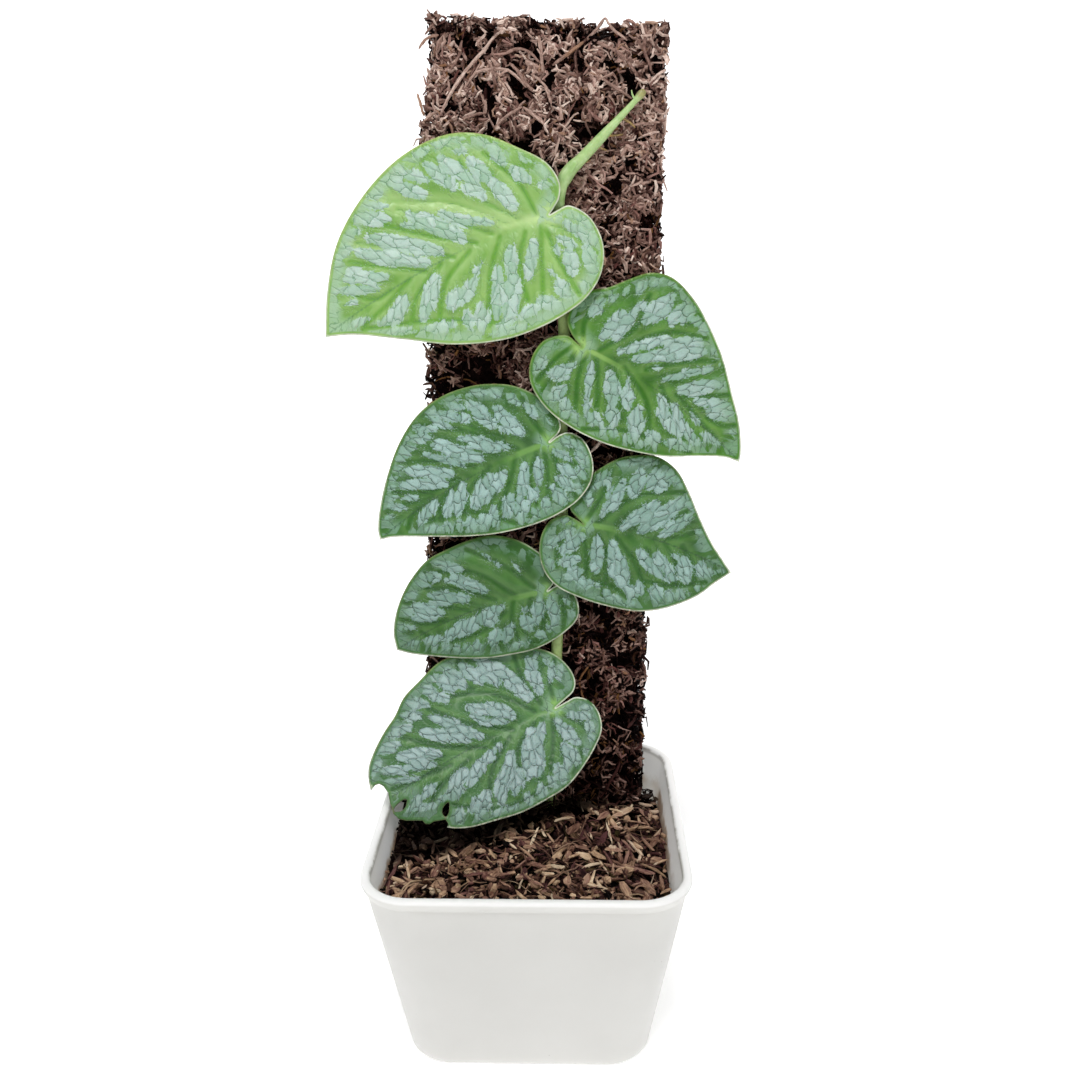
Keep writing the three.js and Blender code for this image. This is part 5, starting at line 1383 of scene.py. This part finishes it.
def inside_loop(points, loop):
    inside = np.zeros(len(points), bool)
    x, y = points[:, 0], points[:, 1]
    for (x0, y0), (x1, y1) in zip(loop, np.roll(loop, -1, 0)):
        crosses = (y0 > y) != (y1 > y)
        at = x0 + (y - y0) * (x1 - x0) / (y1 - y0 if y1 != y0 else 1e-9)
        inside ^= crosses & (x < at)
    return inside


def inside_leaf(points, loops):
    """Which points lie inside the first loop and outside its holes."""
    inside = inside_loop(points, loops[0])
    for hole in loops[1:]:
        inside &= ~inside_loop(points, hole)
    return inside


def triangulate(loops):
    """The leaf's flat area as triangles: its loops exactly, and a fine even grid within them."""
    low, high = loops[0].min(0), loops[0].max(0)
    columns = np.arange(low[0], high[0], CELL)
    rows = np.arange(low[1], high[1], CELL * 0.866)
    grid = np.concatenate([np.column_stack([columns + r % 2 * CELL / 2, np.full(len(columns), y)])
                           for r, y in enumerate(rows)])
    grid = grid[inside_leaf(grid, loops)]
    near = np.min([distance_to(grid, loop) for loop in loops], axis=0)
    points = np.vstack([*loops, grid[near > CELL * 0.55]])
    edges, start = [], 0
    for loop in loops:
        n = len(loop)
        edges += [(start + i, start + (i + 1) % n) for i in range(n)]
        start += n
    result = delaunay_2d_cdt([Vector(p) for p in points], edges, [], 0, 1e-7, False)
    flat = np.array([tuple(p) for p in result[0]])
    triangles = np.array([corners for corners in result[2] if len(corners) == 3])
    triangles = triangles[inside_leaf(flat[triangles].mean(1), loops)]
    a, b, c = (flat[triangles[:, k]] for k in range(3))
    area = (b[:, 0] - a[:, 0]) * (c[:, 1] - a[:, 1]) - (b[:, 1] - a[:, 1]) * (c[:, 0] - a[:, 0])
    triangles[area < 0] = triangles[area < 0][:, ::-1]
    triangles = triangles[np.abs(area) > 1e-9]
    used, numbers = np.unique(triangles, return_inverse=True)
    return flat[used], numbers.reshape(-1, 3)


def silver_of(leaf, xy, edge):
    """How far inside the silver panels each place lies, in millimetres."""
    best = np.full(len(xy), -6.0)
    for x0, y0, x1, y1, width in leaf["strokes"]:
        along, away = nearest_on(xy, (x0, y0), (x1, y1))
        half = width / 2 * (0.55 + 0.45 * np.sin(math.pi * along)) + SPREAD
        best = np.maximum(best, half - away)
    return np.minimum(best, edge - 0.9)


def vein_distance(leaf, xy):
    """The distance to the nearest side vein, and how far along it that is, from 0 to 1."""
    best, place = np.full(len(xy), 30.0), np.zeros(len(xy))
    steps = 13
    for vein in leaf["veins"]:
        route = spline(np.reshape(vein, (3, 2)), count=steps + 1)
        for k, (a, b) in enumerate(zip(route, route[1:])):
            along, away = nearest_on(xy, a, b)
            place = np.where(away < best, (k + along) / steps, place)
            best = np.minimum(best, away)
    return best, place


def bands_of(leaf, xy):
    """How pale each place is along the leaf's strongest veins, from 0 to 1."""
    best = np.zeros(len(xy))
    for x0, y0, x1, y1, width, strength in leaf.get("bands", []):
        away = nearest_on(xy, (x0, y0), (x1, y1))[1]
        best = np.maximum(best, strength * np.exp(-((away / width * 2) ** 2)))
    return best


def lit_edge_of(xy):
    """How much paler the margin's edge is painted, from 0 at the upper left to 1 at the lower right: painted
    light where the edge's thickness catches the light.
    """
    centre = (xy.min(0) + xy.max(0)) / 2
    away = (xy - centre) / (np.linalg.norm(xy - centre, axis=1)[:, None] + 1e-9)
    return smoothstep(away @ np.array((0.55, -0.83)), -0.6, 0.1)


def relief(leaf, s, t, silver, vein, place, edge):
    """The blade's form: a low dome, the sunken midrib and side veins, and panels that swell between."""
    body = np.exp(-(((s - 0.3) / 0.62) ** 2)) * np.exp(-((t / 26) ** 2))
    rib = -RIB_DEPTH * np.exp(-((t / 2.2) ** 2)) * np.clip(1.1 - s, 0, 1)
    furrow = -FURROW * np.exp(-((vein / 0.8) ** 2)) * (1 - 0.5 * place) * smoothstep(edge, 0, 3)
    quilt = QUILT * np.tanh(silver / 1.4) * smoothstep(edge, 0, 3.5)
    swell = SWELL * (1 - np.exp(-((vein / 3.5) ** 2))) * smoothstep(np.abs(t), 1, 6) * smoothstep(edge, 0, 6)
    return DOME * body + rib + quilt + (furrow + swell) * leaf.get("relief", 0.7)


def scar_of(leaf, xy, holes):
    """The distance to the nearest bite, hole or nick, where the margin is torn."""
    wounds = [np.full(len(xy), 9.0)] + [distance_to(xy, hole) for hole in holes]
    wounds += [np.linalg.norm(xy - (x, y), axis=1) - size for x, y, size in leaf.get("nicks", [])]
    if "bitten" in leaf:
        wounds.append(distance_to(xy, np.array(leaf["bitten"], float), closed=False))
    return np.min(wounds, axis=0)


# What each point of a leaf's mesh tells its material, with the values that its stalk has
STALK = dict(silver=-6.0, edge=9.0, rib=0.0, vein=9.0, scar=9.0, along=0.0, under=1.0, stalk=1.0,
             net=(0.0, 0.0, 0.0), pale=0.0, shade=0.0, lip=0.0)


def make_leaf(leaf, material):
    loops = [margin_of(leaf)] + [hole_loop(*hole) for hole in leaf.get("holes", [])]
    flat, triangles = triangulate(loops)
    count = len(flat)
    edge = np.min([distance_to(flat, loop) for loop in loops], axis=0)
    s, t = rib_coordinates(leaf, flat)
    silver = silver_of(leaf, flat, edge)
    vein, place = vein_distance(leaf, flat)
    middle = relief(leaf, s, t, silver, vein, place, edge)
    half = BLADE / 2 * (0.55 + 0.45 * smoothstep(edge, 0.1, 1.6)) + 0.12 * np.exp(-((edge / 0.5) ** 2))
    points = [from_sheet(leaf, *flat.T, middle + side * half) for side in (1, -1)]
    base, length, _, _ = rib_axes(leaf)
    net = np.column_stack([s * length * 1.25, t * 0.8, np.full(count, leaf["top"])])
    values = dict(silver=silver, edge=edge, rib=np.abs(t), vein=vein, scar=scar_of(leaf, flat, loops[1:]),
                  along=np.linalg.norm(flat - base, axis=1) / length, net=net,
                  pale=bands_of(leaf, flat), lip=lit_edge_of(flat))
    values = {key: np.concatenate([value, value]) for key, value in values.items()}
    heap = Heap(*STALK)
    heap.add(np.vstack(points), shell_faces(triangles, count), under=np.repeat([0.0, 1.0], count),
             stalk=0.0, shade=leaf.get("shade", 0.0), **values)
    add_petiole(heap, leaf)
    thing = heap.build(leaf["name"] + "_blade", material, leaf["slot"])
    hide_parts(leaf["name"])


def add_petiole(heap, leaf):
    """The short stalk from the stem to the underside of the midrib, into which it runs out."""
    base, _, along, _ = rib_axes(leaf)
    u, out = vine_point(leaf["foot"])
    skin = -RIB_DEPTH - BLADE / 2
    steps, sides = 22, 12
    points = [
        on_board(u + np.sign(along[0]) * (STEM_RADIUS + 0.1), leaf["foot"], out + 1.2),
        from_sheet(leaf, base[0] + along[0] * 0.5, base[1] - 3.2, skin - 1.15),
        from_sheet(leaf, *(base + along * 2), skin - 0.3),
        from_sheet(leaf, *(base + along * 5), skin + 0.25),
    ]
    radii = np.interp(np.linspace(0, 1, steps), [0, 0.2, 0.6, 1], [1.35, 1.05, 0.95, 0.45])
    heap.add(tube_points(spline(points, count=steps), radii, sides), tube_faces(steps, sides), **STALK)


class LeafFields:
    """The values that several layers of a leaf's finish share."""

    def __init__(self, s, look):
        self.net = s.attribute("net", "Vector")
        self.edge, self.rib, self.along = s.attribute("edge"), s.attribute("rib"), s.attribute("along")
        self.furrow = s.attribute("vein")
        shift = s.vector("MULTIPLY", s.noise(0.45, 2.0, at=self.net, output="Color"), (2.2, 2.2, 0.0))
        warp = s.vector("ADD", self.net, shift)
        self.cell_edge = s.voronoi(look["cells"], "DISTANCE_TO_EDGE", at=warp, dimensions="2D")
        colour = s.voronoi(look["cells"], output="Color", at=warp, dimensions="2D")
        self.cell_value = s.node("SeparateColor", "Red", {"Color": colour})
        self.fine_edge = s.voronoi(0.95, "DISTANCE_TO_EDGE", at=warp, dimensions="2D")
        self.grain = s.noise(1.5, 4.0, 0.7, at=self.net)
        self.patchy = s.noise(0.12, 3.0, at=self.net)
        jag = s.times(s.minus(self.grain, 0.5), 2.8)
        step = s.times(s.minus(self.cell_value, 0.45), 0.9)
        self.reach = s.plus(s.attribute("silver"), s.plus(jag, step))
        cells = s.plus(self.patchy, s.plus(s.times(step, 0.45), s.times(jag, 0.1)))
        self.by_margin = s.times(s.band(self.edge, 0.8, 1.3), s.band(self.edge, 6.5, 2.5),
                                 s.band(cells, 0.36, 0.46), s.band(self.furrow, 0.5, 1.4))
        flecks = s.times(s.band(s.noise(2.4, 1.0, at=self.net), 0.61, 0.68), s.band(self.reach, -1.9, -0.5))
        self.silver = s.most(s.band(self.reach, -0.08, 0.22), s.times(flecks, 0.55),
                             s.times(self.by_margin, look["margin_silver"]))


def blade_colour(s, f, look):
    """The green between the silver: deep and light in patches, with painted shade along its furrows and a
    painted highlight just beside them, and bright at the rib.
    """
    bright = rgb(*look["bright"])
    blade = s.ramp(f.patchy, (0.32, look["deep"]), (0.68, look["green"]))
    # Painted shade along the side veins' furrows, then a painted highlight just beside them
    blade = s.blend(s.times(s.band(f.furrow, 1.4, 0.1), 0.7), blade, rgb(*look["furrow_shade"]))
    lit = s.times(s.band(f.furrow, 3.5, 1.4), s.band(f.furrow, 0.4, 1.4), 0.15)
    blade = s.blend(lit, blade, bright)
    wide, long, strength = look["ribs"]
    glow = s.times(s.band(f.rib, wide, wide * 0.3), s.band(f.along, long, long * 0.2), strength)
    glow = s.most(glow, s.band(f.along, 0.075, 0.015, 0.0, 0.9), s.attribute("pale"))
    return s.blend(glow, blade, bright)


def frost_colour(s, f, look):
    """The silver, paler by cell and greener near the margin."""
    tint = s.plus(s.times(s.noise(0.5, 3.0, at=f.net), 0.5), s.times(f.cell_value, 0.5))
    frost = s.ramp(tint, (0.25, look["silver_low"]), (0.7, look["silver_high"]))
    greener = mix(np.array(look["silver_low"]), np.array(look["green"]), 0.35)
    return s.blend(s.band(f.edge, 8.0, 1.0, 0.0, 0.6), frost, rgb(*greener))


def draw_veins(s, f, look, colour):
    """The net of dark veins between the silver's cells, and painted shade in the creases of the midrib and
    side veins.
    """
    broken = s.band(s.noise(0.4, 2.0, at=f.net), 0.36, 0.56, 0.3, 1.0)
    lines = s.times(s.band(f.cell_edge, 0.055, 0.015), broken)
    lines = s.most(lines, s.times(s.band(f.fine_edge, 0.07, 0.02), 0.22))
    shown = s.most(s.band(f.reach, -1.4, 0.8, 0.05, 1.0), s.times(f.by_margin, 0.85))
    colour = s.blend(s.times(lines, shown, look["net"]), colour, rgb(*look["vein"]))
    # Painted shade: a dark line in the midrib's crease beyond its base, and in the side veins' furrows
    crease_shade = s.times(s.band(f.rib, 0.5, 0.1), s.band(f.along, 0.25, 0.5, 0.0, 0.6))
    crease_shade = s.most(crease_shade, s.times(s.band(f.furrow, 0.28, 0.08), 0.5))
    return s.blend(crease_shade, colour, rgb(*look["vein"]))


def finish_margin(s, f, look, colour):
    """The green margin, its pale edge, painted paler towards the lower right as painted light, and the olive
    of torn places.
    """
    colour = s.blend(s.times(s.band(f.edge, 1.3, 0.5), 0.5), colour, rgb(*look["green"]))
    ragged = s.band(s.noise(0.3, 2.0, at=f.net), 0.3, 0.6, 0.6, 1.0)
    scar = s.attribute("scar")
    pale_edge = s.times(s.band(f.edge, 0.55, 0.25), ragged, s.band(scar, 0.5, 1.2))
    # Painted light: the pale edge is painted paler towards the lower right, where the edge's thickness
    # catches the light
    lip = s.blend(s.attribute("lip"), rgb(*look["rim"]), rgb(220, 226, 204))
    colour = s.blend(pale_edge, colour, lip)
    tear = s.band(s.plus(scar, s.times(f.grain, 0.5)), 0.5, 0.25)
    return s.blend(s.times(tear, 0.6), colour, rgb(122, 112, 84))


def leaf_material(name, look):
    """Green blade with silver panels cut up by a net of dark veins, a bright stalk point and a pale edge."""
    rough = look["rough"]
    s = Shader(name, rough, Specular_IOR_Level=0.45, Subsurface_Weight=0.06, Subsurface_Scale=0.0015)
    f = LeafFields(s, look)
    colour = s.blend(f.silver, blade_colour(s, f, look), frost_colour(s, f, look))
    colour = finish_margin(s, f, look, draw_veins(s, f, look, colour))
    dark = s.blend(1.0, colour, rgb(96, 128, 96), "MULTIPLY")
    colour = s.blend(s.attribute("shade"), colour, dark)
    backs = look["under"]
    pale = s.ramp(f.patchy, (0.3, backs), (0.7, tuple(min(255, c + 14) for c in backs)))
    colour = s.blend(s.attribute("under"), colour, pale)
    s.set("Base Color", s.blend(s.attribute("stalk"), colour, rgb(150, 182, 104)))
    s.set("Roughness", s.band(f.silver, 0.0, 1.0, rough, rough + 0.06))
    height = s.times(s.band(f.cell_edge, 0.0, 0.22), s.band(f.reach, -2.5, 0.5, 0.1, look["pillow"]))
    height = s.minus(height, s.times(s.noise(2.2, 3.0, at=f.net), 0.15))
    s.set("Normal", s.bump(height, 0.8, 0.0005))
    return s.material


# Looks of the leaves by age; "ribs" is how wide, how far and how strongly the midrib shines
LOOKS = {
    "leaf_young": dict(
        green=(150, 191, 106), deep=(112, 163, 66), furrow_shade=(100, 160, 44), bright=(192, 222, 152),
        silver_high=(188, 212, 200), silver_low=(158, 193, 166), vein=(86, 132, 90), under=(150, 184, 110),
        rim=(170, 194, 112), rough=0.34, ribs=(1.5, 0.25, 0.4), cells=0.31, net=0.8, pillow=0.7,
        margin_silver=0.8),
    "leaf_fresh": dict(
        green=(84, 138, 46), deep=(49, 102, 18), furrow_shade=(46, 104, 14), bright=(164, 202, 116),
        silver_high=(168, 194, 186), silver_low=(138, 172, 154), vein=(44, 80, 46), under=(128, 166, 100),
        rim=(118, 146, 70), rough=0.36, ribs=(1.1, 0.3, 0.65), cells=0.34, net=0.9, pillow=0.9,
        margin_silver=0.65),
    "leaf_green": dict(
        green=(78, 128, 58), deep=(44, 92, 28), furrow_shade=(44, 98, 22), bright=(136, 182, 98),
        silver_high=(160, 190, 183), silver_low=(131, 165, 151), vein=(38, 70, 46), under=(120, 156, 98),
        rim=(112, 136, 72), rough=0.38, ribs=(1.4, 0.34, 0.55), cells=0.34, net=0.9, pillow=1.0,
        margin_silver=0.65),
    "leaf_old": dict(
        green=(84, 129, 76), deep=(60, 106, 52), furrow_shade=(48, 92, 42), bright=(140, 188, 96),
        silver_high=(165, 189, 186), silver_low=(141, 170, 162), vein=(40, 68, 54), under=(118, 150, 100),
        rim=(124, 146, 84), rough=0.40, ribs=(0.9, 0.17, 0.35), cells=0.34, net=0.95, pillow=1.0,
        margin_silver=0.5),
}


def make_leaves():
    finishes = {name: leaf_material(name, look) for name, look in LOOKS.items()}
    for leaf in LEAVES:
        make_leaf(leaf, finishes[leaf["slot"]])


# Stage and light


def make_stage():
    """A pale floor that curves up into a backdrop."""
    mesh = bpy.data.meshes.new("floor")
    rows = [(-3.0, 0.0), (0.9, 0.0), (1.2, 0.05), (1.4, 0.2), (1.5, 0.45), (1.5, 3.0)]
    points = [(x, y, z) for y, z in rows for x in (-3.0, 3.0)]
    faces = [[2 * i, 2 * i + 1, 2 * i + 3, 2 * i + 2] for i in range(len(rows) - 1)]
    mesh.from_pydata(points, [], faces)
    mesh.polygons.foreach_set("use_smooth", [True] * len(faces))
    floor = bpy.data.objects.new("floor", mesh)
    s = Shader("floor", 0.9, Specular_IOR_Level=0.1)
    s.set("Base Color", s.ramp(s.noise(3.0, 2.0), (0.3, (250, 250, 250)), (0.7, (253, 253, 253))))
    s.set("Emission Color", (1, 1, 1, 1))
    s.set("Emission Strength", FLOOR_GLOW)
    mesh.materials.append(s.material)
    bpy.context.scene.collection.objects.link(floor)


def area_light(name, place, target, size, power):
    """A round soft light at a place in metres, turned towards its target."""
    light = bpy.data.lights.new(name, "AREA")
    light.shape = "DISK"
    light.size = size
    light.energy = power
    thing = bpy.data.objects.new(name, light)
    thing.location = place
    thing.rotation_euler = (Vector(target) - Vector(place)).to_track_quat("-Z", "Y").to_euler()
    bpy.context.scene.collection.objects.link(thing)


def make_light():
    world = bpy.data.worlds.new("studio")
    world.use_nodes = True
    world.node_tree.nodes["Background"].inputs["Color"].default_value = (1, 1, 1, 1)
    world.node_tree.nodes["Background"].inputs["Strength"].default_value = WORLD_STRENGTH
    bpy.context.scene.world = world
    middle = (0, 0, 0.14)
    area_light("key", (-0.05, -0.60, 1.50), middle, 0.36, KEY_POWER)
    area_light("right", (1.0, -0.80, 1.0), middle, 0.90, SIDE_POWER)
    area_light("left", (-1.0, -0.80, 1.0), middle, 0.90, SIDE_POWER)
    area_light("backdrop", (0.0, 0.60, 1.20), (0, 1.5, 0.8), 0.80, BACKDROP_POWER)
    bpy.context.scene.view_settings.view_transform = "Standard"


place_camera()
make_pot()
make_soil()
make_board()
make_vine()
make_leaves()
make_stage()
make_light()
